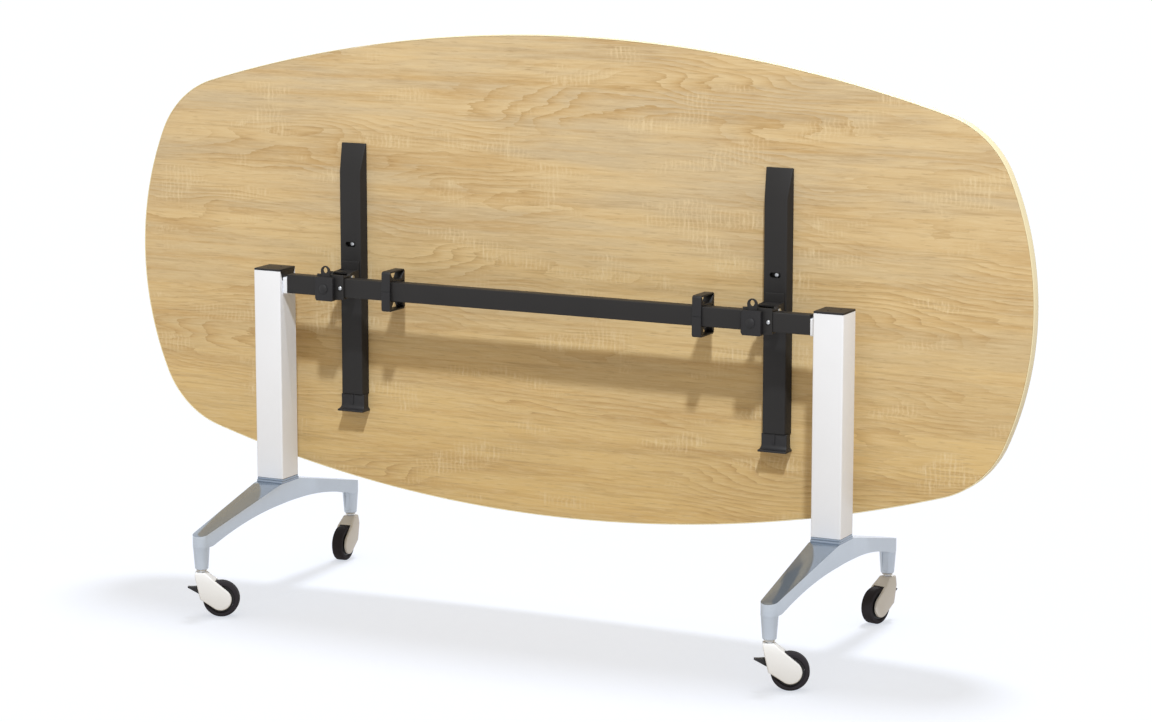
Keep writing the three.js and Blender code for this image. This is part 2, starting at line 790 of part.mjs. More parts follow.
function footSolid() {
  const half = columnSide / 2;
  const body = runAcross(footSide(), -half, half).intersect(raised(footPlan(), 0, footTop + overrun));
  const spigot = raised(columnOutline(columnWall + seatGap), footTop - overrun, footTop + footSpigot);
  const farPost = postSolid();
  const nearPost = farPost.rotate([0, 0, 180]);
  const bore = rod(stemRadius + seatGap, postBottom - overrun, postBottom + stemInsert + seatGap);
  const bores = [-footReach, footReach].map((y) => bore.translate([0, y, 0]));
  return cut(joined(body, spigot, farPost, nearPost), ...bores);
}

// Casters, with x along the trail from the swivel axis

const axlePlace = [forkTrail, wheelRadius];
const slotHalf = tyreWidth / 2 + forkCheekGap;
const forkHalf = slotHalf + forkCheek;
const pedalPivot = [0, wheelRadius + pedalPivotRise];

function forkOutline() {
  const headFront = [forkHeadFront, forkTop];
  const heel = [forkTrail - wheelRadius - hoodGap - hoodWall, wheelRadius];
  const over = touchAngle(headFront, axlePlace, forkEndRadius, -1);
  const under = touchAngle(heel, axlePlace, forkEndRadius, 1) - 2 * Math.PI;
  return [
    [-forkHeadBack, forkTop], headFront,
    ...arcPoints(axlePlace, forkEndRadius, over, under, smallSteps),
    heel, [-forkHeadBack, forkTop - forkNapeDrop],
  ];
}

function forkEndView() {
  const headHalf = forkHeadWidth / 2;
  const shoulder = forkTop - forkShoulderDrop;
  return [
    [-forkHalf, 0], [forkHalf, 0], [forkHalf, shoulder],
    [headHalf, forkTop], [-headHalf, forkTop], [-forkHalf, shoulder],
  ];
}

function forkSolid() {
  const reach = forkTrail + wheelDiameter;
  const side = runBack(forkOutline(), -forkHalf, forkHalf);
  const body = side.intersect(runAcross(forkEndView(), -reach, reach));
  const slotRadius = wheelRadius + hoodGap;
  const slot = turned([
    [0, -slotHalf], [slotRadius, -slotHalf], [slotRadius, slotHalf], [0, slotHalf],
  ], roundSteps);
  const axleEnd = slotHalf + axleSeat + seatGap;
  const axleBore = alongY(rod(axleDiameter / 2 + seatGap, -axleEnd, axleEnd));
  const swivelBore = rod(swivelRadius + runningGap, forkTop - swivelDepth - seatGap, forkTop + overrun);
  const roomLow = pedalPivot[1] - pedalHubRadius - pedalRoom;
  const roomHigh = pedalPivot[1] + pedalHubRadius + pedalRoom - slideGap;
  const roomSide = pedalWidth / 2 + slideGap;
  const room = runBack([
    [-pedalReach, roomLow], [pedalRoomReach, roomLow],
    [pedalRoomReach, roomHigh], [-pedalReach, roomHigh],
  ], -roomSide, roomSide);
  const pinEnd = slotHalf + pedalPinSeat;
  const pedalBore = alongY(rod(pedalPinRadius + runningGap, -pinEnd - seatGap, pinEnd + seatGap));
  const atAxle = [forkTrail, 0, wheelRadius];
  return cut(
    body, alongY(slot).translate(atAxle), axleBore.translate(atAxle),
    swivelBore, room, pedalBore.translate([pedalPivot[0], 0, pedalPivot[1]]),
  );
}

function pedalSolid() {
  const half = pedalWidth / 2;
  const tipTop = pedalPivot[1] + pedalTipRise + pedalTipThickness / 2;
  const lever = [
    [0, pedalPivot[1] + pedalHubRadius], [-pedalBendReach, tipTop],
    [-pedalReach, tipTop], [-pedalReach, tipTop - pedalTipThickness],
    [-pedalBellyReach, pedalPivot[1] - pedalBellyDrop], [-pedalHeelReach, pedalPivot[1] - pedalHeelDrop],
    [0, pedalPivot[1] - pedalHubRadius],
  ];
  const pinEnd = slotHalf + pedalPinSeat;
  const hub = runBack(circlePoints(pedalPivot, pedalHubRadius, smallSteps), -half, half);
  const pin = alongY(rod(pedalPinRadius, -pinEnd, pinEnd)).translate([pedalPivot[0], 0, pedalPivot[1]]);
  return joined(runBack(lever, -half, half), hub, pin);
}

function tyreSolid() {
  const half = tyreWidth / 2;
  const inner = wheelRadius - tyreDepth;
  const centre = [wheelRadius - tyreShoulder, half - tyreShoulder];
  const upper = arcPoints(centre, tyreShoulder, 0, Math.PI / 2, filletSteps);
  const lower = upper.map(([radius, height]) => [radius, -height]).reverse();
  const section = [[inner, -half], ...lower, ...upper, [inner, half], [inner, -half]];
  return alongY(turned(section, roundSteps)).translate([forkTrail, 0, wheelRadius]);
}

function hubSolid() {
  const rim = wheelRadius - tyreDepth - seatGap;
  const rimInner = rim - hubRimWall;
  const bore = axleDiameter / 2 + runningGap;
  const rimHalf = tyreWidth / 2 - tyreShoulder / 2;
  const webHalf = hubWebThickness / 2;
  const bossHalf = slotHalf - slideGap;
  const upper = [
    [rim, rimHalf], [rimInner, rimHalf], [rimInner, webHalf],
    [hubBossRadius, webHalf], [hubBossRadius, bossHalf], [bore, bossHalf],
  ];
  const lower = upper.map(([radius, height]) => [radius, -height]).reverse();
  return alongY(turned([...lower, ...upper, lower[0]], roundSteps)).translate([forkTrail, 0, wheelRadius]);
}

function axleSolid() {
  const end = slotHalf + axleSeat;
  return alongY(rod(axleDiameter / 2, -end, end)).translate([forkTrail, 0, wheelRadius]);
}

function stemSolid() {
  const collarLow = forkTop + seatGap;
  const collarHigh = collarLow + stemCollarHeight;
  const top = postBottom + stemInsert;
  return turned([
    [0, forkTop - swivelDepth], [swivelRadius, forkTop - swivelDepth], [swivelRadius, collarLow],
    [stemCollarRadius, collarLow], [stemCollarRadius, collarHigh], [stemRadius, collarHigh],
    [stemRadius, top], [0, top],
  ], smallSteps);
}

// Assembly

const ends = [['left', -1], ['right', 1]];

function flipTop() {
  const top = new THREE.Group();
  top.position.set(0, pivotY, pivotZ);
  top.add(piece('table_board', boardSolid(), oakPrint));
  top.add(piece('edge_band', edgeBandSolid(), creamBand));
  for (const [side, sign] of ends) {
    const arm = new THREE.Group();
    arm.position.x = sign * armSpacing / 2;
    arm.add(piece(`support_arm_${side}`, armSolid(), blackSteel));
    arm.add(piece(`arm_screw_${side}`, armScrewSolid(), brightSteel));
    arm.add(piece(`arm_bumper_${side}`, bumperSolid(), blackPlastic));
    arm.add(piece(`hinge_leaf_${side}`, leafSolid(), blackSteel));
    top.add(arm);
  }
  return top;
}

function hingeAndLatch(side, sign) {
  const hinge = new THREE.Group();
  hinge.position.x = sign * armSpacing / 2;
  hinge.add(piece(`hinge_saddle_${side}`, saddleSolid(), blackSteel));
  hinge.add(piece(`saddle_screw_${side}`, saddleScrewSolid(), brightSteel));
  const pin = piece(`hinge_pin_${side}`, hingePinSolid(), brightSteel);
  pin.position.set(0, pivotY, pivotZ);
  hinge.add(pin);
  const latch = new THREE.Group();
  latch.position.set(-latchOffset, 0, beamZ - latchDrop);
  latch.add(piece(`latch_housing_${side}`, latchHousingSolid(), blackPlastic));
  latch.add(piece(`latch_lever_${side}`, latchLeverSolid(), blackSteel));
  latch.add(piece(`latch_rivet_${side}`, latchRivetSolid(), blackPlastic));
  hinge.add(latch);
  return hinge;
}

function columnEnd(side, sign) {
  const end = new THREE.Group();
  end.position.x = sign * columnSpacing / 2;
  end.rotation.z = sign > 0 ? Math.PI : 0;
  end.add(piece(`column_${side}`, columnSolid(), whitePaint));
  end.add(piece(`column_cap_${side}`, capSolid(), blackPlastic));
  end.add(piece(`foot_${side}`, footSolid(), castAluminium));
  return end;
}

function cableClip(side, sign) {
  const clip = new THREE.Group();
  clip.position.x = sign * clipSpacing / 2;
  clip.add(piece(`cable_clip_upper_${side}`, clipHalfSolid(1), blackPlastic));
  clip.add(piece(`cable_clip_lower_${side}`, clipHalfSolid(-1), blackPlastic));
  return clip;
}

function caster(place, x, y, trailAngle) {
  const group = new THREE.Group();
  group.position.set(x, y, 0);
  group.rotation.z = THREE.MathUtils.degToRad(trailAngle);
  group.add(piece(`caster_stem_${place}`, stemSolid(), brightSteel));
  group.add(piece(`caster_fork_${place}`, forkSolid(), whitePlastic));
  group.add(piece(`caster_axle_${place}`, axleSolid(), brightSteel));
  group.add(piece(`caster_tyre_${place}`, tyreSolid(), tyreRubber));
  group.add(piece(`caster_hub_${place}`, hubSolid(), blackPlastic));
  group.add(piece(`brake_pedal_${place}`, pedalSolid(), blackPlastic));
  return group;
}

function foldedTable() {
  const table = new THREE.Group();
  table.add(flipTop());
  table.add(piece('beam', beamSolid(), blackSteel));
  for (const [side, sign] of ends) {
    table.add(piece(`beam_collar_${side}`, collarSolid(sign), whitePaint));
    table.add(hingeAndLatch(side, sign));
    table.add(columnEnd(side, sign));
    table.add(cableClip(side, sign));
    const x = sign * columnSpacing / 2;
    table.add(caster(`front_${side}`, x, -footReach, nearTrailAngle));
    table.add(caster(`back_${side}`, x, footReach, sign < 0 ? farLeftTrailAngle : farRightTrailAngle));
  }
  return table;
}

// The origin is on the floor under the middle of the folded table's box.
const table = foldedTable();
const middle = new THREE.Box3().setFromObject(table, true).getCenter(new THREE.Vector3());
table.position.set(-middle.x, -middle.y, 0);
const part = new THREE.Group();
part.add(table);

export default part;
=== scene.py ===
"""Dresses the folded flip top training table: finer pieces over its frame, its finishes and a plain studio.

Everything is in metres in the frame of the packed model: +X along the beam, +Y towards the folded top, +Z up.
"""

import json
import math

import bmesh
import bpy
from bpy.props import FloatProperty, FloatVectorProperty, PointerProperty
from mathutils import Matrix, Vector


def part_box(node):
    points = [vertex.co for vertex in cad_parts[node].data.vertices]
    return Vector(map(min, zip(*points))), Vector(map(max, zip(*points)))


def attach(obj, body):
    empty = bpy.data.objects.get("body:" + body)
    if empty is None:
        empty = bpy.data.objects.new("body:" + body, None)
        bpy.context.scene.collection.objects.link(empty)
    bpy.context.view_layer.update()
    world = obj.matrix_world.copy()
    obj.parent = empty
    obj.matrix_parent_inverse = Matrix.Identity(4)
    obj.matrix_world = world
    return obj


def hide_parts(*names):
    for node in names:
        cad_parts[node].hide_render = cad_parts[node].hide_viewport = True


bl_info = {
    "name": "Flip Top Training Table",
    "version": (1, 0, 0),
    "blender": (4, 5, 0),
    "location": "View3D > Sidebar > Table",
    "description": "Dresses the folded training table and its studio",
    "category": "Add Mesh",
}

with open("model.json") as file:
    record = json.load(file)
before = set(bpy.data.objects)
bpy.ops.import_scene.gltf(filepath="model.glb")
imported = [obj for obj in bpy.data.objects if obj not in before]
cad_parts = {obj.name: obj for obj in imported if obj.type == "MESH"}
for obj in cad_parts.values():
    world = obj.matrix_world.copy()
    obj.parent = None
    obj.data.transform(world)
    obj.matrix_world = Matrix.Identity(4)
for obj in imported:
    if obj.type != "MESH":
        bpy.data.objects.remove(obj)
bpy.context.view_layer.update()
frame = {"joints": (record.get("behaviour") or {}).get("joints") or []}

# Places that the frame gives
PIVOTS = {joint["name"]: Vector(joint["pos_m"]) for joint in frame["joints"]}
FLIP = PIVOTS["top_flip"]
ENDS = (("left", -1), ("right", 1))
CASTERS = [f"{row}_{side}" for side, _ in ENDS for row in ("front", "back")]

# Ways to lay a flat drawing (u, v) and its thickness w in the frame
ACROSS = Matrix(((0, 0, 1, 0), (1, 0, 0, 0), (0, 1, 0, 0), (0, 0, 0, 1)))
BACK = Matrix(((1, 0, 0, 0), (0, 0, 1, 0), (0, 1, 0, 0), (0, 0, 0, 1)))
UP = Matrix.Identity(4)

# Ways to lay the axis of a turned piece
TURNS = {"X": Matrix.Rotation(math.pi / 2, 4, "Y"), "Y": Matrix.Rotation(-math.pi / 2, 4, "X"), "Z": UP}
QUARTER = math.pi / 2

# Mesh limits: points that are one, slivers that go, faces that are one plane, bends that look smooth
MERGE = 1e-6
SLIVER = 1e-7
FLAT_ANGLE = math.radians(1.0)
SMOOTH_ANGLE = math.radians(32.0)

# Steps round an edge, along the arcs of the top, and along a foot's arm and its round end
EDGE_STEPS = 2
TOP_END_STEPS, TOP_CORNER_STEPS, TOP_SIDE_STEPS = 48, 24, 96
FOOT_ARM_STEPS, FOOT_END_STEPS = 40, 14

# The corner of an oblong as a share of its half width, and a foot's last station as a share of its round end
OBLONG_ROUND = 0.9
LAST_STATION = 0.9985

# A foot's faces are polished where their normal rises by more than this; their darker colour is partly
# painted dark reflection
POLISHED_RISE = 0.45

# The screw head, for a radius of 1: its flat, the drop of its dome, its height and the dome's angles
SCREW_FLAT, SCREW_DROP, SCREW_HEIGHT = 0.55, 0.55, 0.62
SCREW_ANGLES = (0.35, 0.7, 1.05, 1.4)

# The hexagon socket of that head: its radius, its depth and the tool's start above the face
SOCKET_RADIUS, SOCKET_DEPTH, SOCKET_OVER = 0.48, 0.36, 0.2

# Where each lamp stands: azimuth from the front towards the right, elevation and spread, in degrees
KEY_PLACE = (29.5, 54.8, 3.6)
BACK_PLACE = (187.0, 68.0, 13.0)
REAR_PLACE = (195.0, 32.0, 20.0)

# Half the floor, the camera's sensor in millimetres and how far it sees
FLOOR_HALF = 30.0
SENSOR_WIDTH = 36.0
VIEW_LIMIT = 100.0

# The oak print: planks and growth lines per metre, and the saw's teeth in radians per metre along the grain
OAK_PLANKS, OAK_LINES, SAW_TEETH = 8.6, 56.0, 620.0

# Noise in the oak print: scale along X, Y and Z, detail and roughness
OAK_NOISE = {
    "swirl": ((1.3, 1.0, 7.0), 2.0, 0.45),
    "ripple": ((9.0, 1.0, 60.0), 3.0, 0.6),
    "drawn": ((1.6, 1.0, 8.0), 2.0, 0.5),
    "clouds": ((1.6, 1.0, 15.0), 4.0, 0.6),
    "streaks": ((1.3, 1.0, 46.0), 4.0, 0.65),
    "shade": ((1.1, 1.0, 24.0), 4.0, 0.65),
    "grain": ((4.0, 1.0, 130.0), 3.0, 0.65),
    "fibre": ((16.0, 40.0, 270.0), 4.0, 0.75),
    "pores": ((22.0, 40.0, 300.0), 2.0, 0.6),
    "sawn": ((5.0, 2.0, 15.0), 2.0, 0.5),
    "scores": ((150.0, 30.0, 22.0), 2.0, 0.6),
}


# Settings


def size(name, description, default):
    """A length that a user may change."""
    return FloatProperty(name=name, description=description, default=default,
                         subtype="DISTANCE", unit="LENGTH")


def rotation(name, description, degrees):
    """An angle that a user may change."""
    return FloatProperty(name=name, description=description, default=math.radians(degrees),
                         subtype="ANGLE", unit="ROTATION")


def strength(name, description, default):
    """The strength of a light, which a user may change."""
    return FloatProperty(name=name, description=description, default=default)


def colour(name, description, default):
    """A colour that a user may change, in linear light."""
    return FloatVectorProperty(name=name, description=description, default=default, subtype="COLOR",
                               size=3, min=0.0, max=1.0)


class TopSizes(bpy.types.PropertyGroup):
    """Sizes of the table top."""

    length: size("Length", "Over the edging, along the beam", 2.040)
    width: size("Width", "Over the edging, across the beam", 1.000)
    long_radius: size("Long side radius", "Bow of each long side", 2.920)
    end_radius: size("End radius", "Bow of each end", 0.673)
    corner_radius: size("Corner radius", "Round between a long side and an end", 0.199)
    band: size("Edging thickness", "Edging round the board", 0.002)
    seat: size("Edging seat", "Gap between the board and its edging", 0.0003)
    edge: size("Edge round", "Round on the board's and the edging's edges", 0.0007)


class ArmSizes(bpy.types.PropertyGroup):
    """Sizes of the support arms, their screws and their end bumpers."""

    face_width: size("Face width", "Front face of an arm", 0.049)
    bevel_length: size("Bevel length", "Sloped upper end of an arm", 0.060)
    tip_depth: size("Tip depth", "Thickness left at the upper end", 0.004)
    edge: size("Edge round", "Round on the arm's bends", 0.0024)
    access_rise: size("Access rise", "Screw access above the flip axis", 0.065)
    access_length: size("Access length", "Oblong screw access, across the face", 0.024)
    access_breadth: size("Access breadth", "Oblong screw access, along the arm", 0.011)
    access_depth: size("Access depth", "Depth of the screw access", 0.011)
    screw_radius: size("Screw radius", "Head of the screw in the access", 0.0055)
    neck_height: size("Bumper neck", "Height of the bumper's neck", 0.022)
    neck_inset: size("Neck inset", "Neck inside the arm's outline", 0.0025)
    lip_height: size("Bumper lip", "Height of the bumper's lip", 0.004)
    bumper_edge: size("Bumper edge round", "Round on the bumper's edges", 0.0012)
    rib_width: size("Rib width", "Rib down the bumper's neck", 0.0045)
    rib_rise: size("Rib rise", "Rib in front of the bumper's neck", 0.0016)


class BeamSizes(bpy.types.PropertyGroup):
    """Sizes of the beam, its collars, the cable clips, the hinges and the latches."""

    corner: size("Corner", "Outer bend of the beam tube", 0.0022)
    collar_corner: size("Collar corner", "Round corner of a collar", 0.003)
    collar_inset: size("Collar inset", "Collar below the beam's top", 0.007)
    collar_edge: size("Collar edge round", "Round on the collar's edges", 0.0008)
    beam_edge: size("Beam edge round", "Round on the beam's cut ends", 0.0003)
    clip_wall: size("Clip wall", "Wall of a cable clip", 0.0035)
    clip_corner: size("Clip corner", "Outer corner of a cable clip", 0.006)
    clip_slope: size("Clip window slope", "Lean of the window's sides", 0.011)
    clip_web: size("Clip web", "Web between the grip and the window", 0.003)
    clip_edge: size("Clip edge round", "Round on the clip's edges", 0.0009)
    seat: size("Seat", "Gap between fixed pieces", 0.0003)
    saddle_wall: size("Saddle wall", "Sheet of the hinge saddle", 0.003)
    cheek_wall: size("Cheek wall", "Sheet of the hinge cheeks", 0.004)
    cheek_radius: size("Cheek radius", "Round end of a hinge cheek", 0.012)
    cheek_drop: size("Cheek drop", "Lower edge of a cheek below the flip axis", 0.02175)
    plate_margin: size("Plate margin", "Saddle's front plate below the beam", 0.004)
    plate_sag: size("Plate sag", "Bow of the front plate's lower edge", 0.0025)
    slide: size("Slide", "Room beside a piece that swings", 0.0005)
    leaf_wall: size("Leaf wall", "Sheet of the hinge leaf", 0.003)
    leaf_corner: size("Leaf corner", "Round corner of the hinge leaf", 0.003)
    ear_radius: size("Ear radius", "Round end of a hinge ear", 0.011)
    ear_foot: size("Ear foot", "Hinge ear where it meets the leaf", 0.026)
    pin_radius: size("Pin radius", "Hinge pin", 0.004)
    pin_head: size("Pin head", "Radius of the pin's heads", 0.0065)
    pin_head_height: size("Pin head height", "Thickness of the pin's heads", 0.002)
    pin_edge: size("Pin edge", "Chamfer on the pin's heads", 0.0010)
    saddle_edge: size("Saddle edge round", "Round on sheet edges", 0.0006)
    screw_radius: size("Screw radius", "Head of the screw in a saddle", 0.0045)


class LatchSizes(bpy.types.PropertyGroup):
    """Sizes of a latch."""

    chamfer: size("Chamfer", "Cut lower left corner of the housing", 0.0045)
    bevel: size("Bevel", "Sloped left side of the housing", 0.003)
    corner: size("Corner", "Round corners of the housing", 0.003)
    edge: size("Edge round", "Round on the housing's edges", 0.0010)
    wall: size("Wall", "Side wall of the housing", 0.0016)
    floor: size("Pocket floor", "Pocket's lower end below the rivet", 0.014)
    slide: size("Slide", "Room round the lever", 0.0005)
    tab_width: size("Tab width", "Width of the lever's eye tab", 0.022)
    tab_offset: size("Tab offset", "Tab centre to the right of the rivet", 0.0005)
    hub_radius: size("Hub radius", "Lever's round hub", 0.011)
    eye_width: size("Eye width", "Hole in the tab", 0.010)
    eye_height: size("Eye height", "Hole in the tab", 0.012)
    eye_wall: size("Eye wall", "Metal over the eye", 0.0032)
    lever_edge: size("Lever edge round", "Round on the lever's edges", 0.0011)
    rivet_radius: size("Rivet radius", "Shank of the rivet", 0.004)
    rivet_rim: size("Rivet rim", "Upright rim of the rivet's head", 0.0012)
    rivet_seat: size("Rivet seat", "Gap between the rivet's head and the housing", 0.0003)


class BaseSizes(bpy.types.PropertyGroup):
    """Sizes of the columns, caps and feet."""

    column_corner: size("Column corner", "Outer bend of the column tube", 0.003)
    notch_depth: size("Notch depth", "Notch in the column's inner wall", 0.020)
    notch_floor: size("Notch floor", "Width of the notch's floor", 0.044)
    cap_thickness: size("Cap thickness", "Plate of the column cap", 0.004)
    cap_edge: size("Cap edge round", "Round on the cap's edges", 0.0010)
    column_edge: size("Column edge round", "Round on the column's cut ends", 0.0004)
    column_wall: size("Column wall", "Wall of the column tube", 0.0025)
    seat: size("Seat", "Gap between fixed pieces", 0.0003)
    dimple_radius: size("Dimple radius", "Marks on the column cap", 0.0024)
    dimple_depth: size("Dimple depth", "Marks on the column cap", 0.0012)
    dimple_reach: size("Dimple reach", "Marks from the cap's centre, along X and Y", 0.010)
    foot_reach: size("Foot reach", "Post centre from the column centre", 0.303)
    foot_rise: size("Foot rise", "Arm top at the column above its end", 0.060)
    step_height: size("Step height", "Each step under the column", 0.005)
    step_out: size("Step width", "Lower step beyond the column", 0.003)
    fillet: size("Fillet", "Run from the step to the arm", 0.005)
    end_thickness: size("End thickness", "Arm at the post", 0.024)
    arch_rise: size("Arch rise", "Hollow under the arms", 0.042)
    spigot: size("Spigot", "Foot inside the column", 0.025)
    post_top: size("Post top", "Post diameter at the arm", 0.035)
    post_bottom: size("Post bottom", "Post diameter at the caster", 0.0275)
    groove_width: size("Groove width", "Groove on a post's inner side", 0.012)
    groove_depth: size("Groove depth", "Groove on a post's inner side", 0.004)
    foot_edge: size("Foot edge round", "Round on the foot's edges", 0.0026)
    cast_edge: size("Cast edge round", "Round on the foot's steps and posts", 0.0012)
    arch_run: size("Arch run", "Arch into each post", 0.001)
    post_inset: size("Post inset", "Post inside the arm's round end", 0.0004)
    post_chamfer: size("Post chamfer", "Chamfer on the post's lower end", 0.0016)
    post_overlap: size("Post overlap", "Post run into the arm", 0.010)
    groove_margin: size("Groove margin", "Groove above the post's lower end", 0.006)
    groove_corner: size("Groove corner", "Round corner of the groove", 0.002)


class CasterSizes(bpy.types.PropertyGroup):
    """Sizes of a caster."""

    wheel_radius: size("Wheel radius", "Tyre's tread", 0.0375)
    tyre_width: size("Tyre width", "Tyre across the tread", 0.024)
    tyre_depth: size("Tyre depth", "Tyre from tread to rim", 0.010)
    tyre_shoulder: size("Tyre shoulder", "Round shoulder of the tyre", 0.0045)
    hub_wall: size("Hub wall", "Rim of the hub", 0.004)
    hub_web: size("Hub web", "Web of the hub", 0.010)
    hub_boss: size("Hub boss", "Radius of the hub's boss", 0.009)
    axle_radius: size("Axle radius", "Wheel axle", 0.004)
    cheek: size("Fork cheek", "Cheek beside the wheel", 0.005)
    cheek_gap: size("Cheek gap", "Room between tyre and cheek", 0.001)
    trail: size("Trail", "Axle behind the swivel", 0.040)
    end_radius: size("Fork end", "Round end of the cheeks", 0.023)
    head_rise: size("Head rise", "Fork top above the tyre", 0.0175)
    head_front: size("Head front", "Head ahead of the swivel", 0.009)
    head_back: size("Head back", "Head behind the swivel", 0.013)
    head_width: size("Head width", "Head across the fork", 0.026)
    shoulder_drop: size("Shoulder drop", "Head's taper", 0.018)
    nape: size("Nape", "Upright part of the head", 0.006)
    hood_gap: size("Hood gap", "Room between tyre and hood", 0.0025)
    hood_wall: size("Hood wall", "Hood over the tyre", 0.002)
    fork_edge: size("Fork edge round", "Round on the fork's edges", 0.0026)
    pedal_width: size("Pedal width", "Brake pedal across", 0.012)
    pedal_reach: size("Pedal reach", "Pedal tip from the swivel", 0.0295)
    pedal_rise: size("Pedal rise", "Pedal pivot above the axle", 0.0205)
    pedal_hub: size("Pedal hub", "Radius of the pedal's hub", 0.005)
    pedal_tip: size("Pedal tip", "Thickness of the pedal's tip", 0.002)
    pedal_tip_rise: size("Pedal tip rise", "Top of the pedal's tip above its pivot", 0.0035)
    pedal_bend: size("Pedal bend", "Where the upper face flattens", 0.0195)
    pedal_belly: size("Pedal belly", "Where the lower face bends", 0.0177)
    pedal_belly_drop: size("Belly drop", "That bend below the pivot", 0.005)
    pedal_heel: size("Pedal heel", "Lowest point of the pedal", 0.005)
    pedal_heel_drop: size("Heel drop", "That point below the pivot", 0.012)
    pedal_pin: size("Pedal pin", "Radius of the pedal's pin", 0.0025)
    pedal_room: size("Pedal room", "Fork opening above and below the pedal's hub", 0.0105)
    pedal_room_back: size("Pedal room back", "Fork opening behind the swivel", 0.0137)
    pedal_edge: size("Pedal edge round", "Round on the pedal's edges", 0.0009)
    pin_seat: size("Pin seat", "Axle and pedal pin in each cheek", 0.003)
    slide: size("Slide", "Room beside a piece that swings", 0.0005)
    seat: size("Seat", "Gap between fixed pieces", 0.0003)
    hub_edge: size("Hub edge", "Chamfer on the hub's rim", 0.0006)
    tyre_lip: size("Tyre lip", "Sloped lip inside the tyre's side", 0.002)
    stem_radius: size("Stem radius", "Stem in the post", 0.005)
    stem_swivel: size("Stem swivel", "Stem in the fork", 0.0045)
    stem_collar: size("Stem collar", "Radius of the dark neck under the post", 0.0068)
    neck_height: size("Neck height", "Dark neck under the post", 0.0042)
    ferrule_radius: size("Ferrule radius", "Pale ring under the post", 0.0108)
    ferrule_inner: size("Ferrule bore", "Bore of the pale ring", 0.0071)
    ferrule_low: size("Ferrule foot", "Pale ring above the fork", 0.0036)
    ferrule_high: size("Ferrule top", "Top of the pale ring above the fork", 0.0064)


class Finishes(bpy.types.PropertyGroup):
    """Colours of the finishes, in linear light."""

    oak: colour("Oak", "Main tone of the oak print", (0.680, 0.520, 0.289))
    oak_grey: colour("Oak grey", "Greyer planks of the print", (0.530, 0.430, 0.285))
    # Painted warm light: this colour is mixed in more strongly towards the board's lower edge.
    oak_painted_warm_light: colour("Oak honey", "Tone towards the lower edge", (0.672, 0.472, 0.176))
    oak_warm: colour("Oak warm", "Orange streaks", (0.520, 0.335, 0.135))
    oak_dark: colour("Oak dark", "Dark growth lines", (0.350, 0.225, 0.098))
    oak_pore: colour("Oak pore", "Short dark pores", (0.240, 0.140, 0.058))
    oak_pale: colour("Oak pale", "Pale fibres and saw marks", (0.740, 0.610, 0.385))
    edging: colour("Edging", "Cream edging", (0.820, 0.740, 0.495))
    black: colour("Black", "Powder-coated steel", (0.0145, 0.0135, 0.0135))
    moulding: colour("Black moulding", "Black plastic", (0.013, 0.0125, 0.014))
    zinc: colour("Zinc", "Zinc-plated steel", (0.560, 0.570, 0.580))
    white: colour("White", "Powder-coated columns", (0.780, 0.815, 0.890))
    aluminium: colour("Aluminium", "Satin cast aluminium", (0.505, 0.555, 0.615))
    # Partly painted dark reflection: a lower, bluer colour than polished aluminium has.
    polished: colour("Polished", "Polished upper faces of the feet", (0.270, 0.322, 0.395))
    warm_white: colour("Warm white", "Caster plastic", (0.700, 0.714, 0.740))
    rubber: colour("Rubber", "Tyres", (0.0210, 0.0190, 0.0235))
    dust: colour("Dust", "Dust on the tyres", (0.036, 0.033, 0.036))


class StageSettings(bpy.types.PropertyGroup):
    """Camera and lights."""

    camera: FloatVectorProperty(name="Camera", description="Camera place", default=(3.173, -6.1602, 1.7565),
                                subtype="XYZ", unit="LENGTH", size=3)
    tilt: rotation("Tilt", "Camera tilt from straight down", 80.02)
    turn: rotation("Turn", "Camera turn about the vertical", 26.72)
    lens: FloatProperty(name="Lens", description="Focal length in millimetres", default=107.7,
                        subtype="DISTANCE_CAMERA", unit="CAMERA")
    key: strength("Key", "Strength of the key light", 3.06)
    key_tint: colour("Key tint", "Colour of the key light", (0.912, 0.955, 1.000))
    back: strength("Back light", "Strength of the floor's light, from behind", 1.4)
    rear: strength("Rear light", "Strength of the light on the table's far side", 0.7)
    ambient: strength("Ambient", "Strength of the soft light all round", 0.535)
    fill: colour("Fill", "Colour of the soft light all round", (1.000, 0.845, 0.600))
    paper: colour("Paper", "Floor", (0.466, 0.505, 0.600))
    glow: colour("Glow", "Floor's own light to the camera", (0.556, 0.588, 0.648))
    bounce: colour("Bounce", "Floor's own light to the table, for the key light it doesn't get",
                   (0.280, 0.212, 0.125))


GROUPS = {
    "table_top_sizes": TopSizes,
    "table_arm_sizes": ArmSizes,
    "table_beam_sizes": BeamSizes,
    "table_latch_sizes": LatchSizes,
    "table_base_sizes": BaseSizes,
    "table_caster_sizes": CasterSizes,
    "table_finishes": Finishes,
    "table_stage": StageSettings,
}


# Shader maths


class Signal:
    """A shader socket that takes part in Python expressions."""

    def __init__(self, tree, socket):
        self.tree = tree
        self.socket = socket

    def _with(self, operation, first, second=0.0):
        return self.tree.node("ShaderNodeMath", {"operation": operation}, {0: first, 1: second})

    def __add__(self, other):
        return self._with("ADD", self, other)

    __radd__ = __add__

    def __sub__(self, other):
        return self._with("SUBTRACT", self, other)

    def __rsub__(self, other):
        return self._with("SUBTRACT", other, self)

    def __mul__(self, other):
        return self._with("MULTIPLY", self, other)

    __rmul__ = __mul__

    def __pow__(self, power):
        return self._with("POWER", self, power)

    def wave(self):
        """Its sine, from -1 to 1."""
        return self._with("SINE", self)

    def floor(self):
        """The whole number at or below it."""
        return self._with("FLOOR", self)

    def fraction(self):
        """What is left over above that whole number."""
        return self._with("FRACT", self)

    def above(self, low, high):
        """0 below low, 1 above high and smooth between."""
        inputs = {"Value": self, "From Min": low, "From Max": high}
        return self.tree.node("ShaderNodeMapRange", {"interpolation_type": "SMOOTHSTEP"}, inputs)


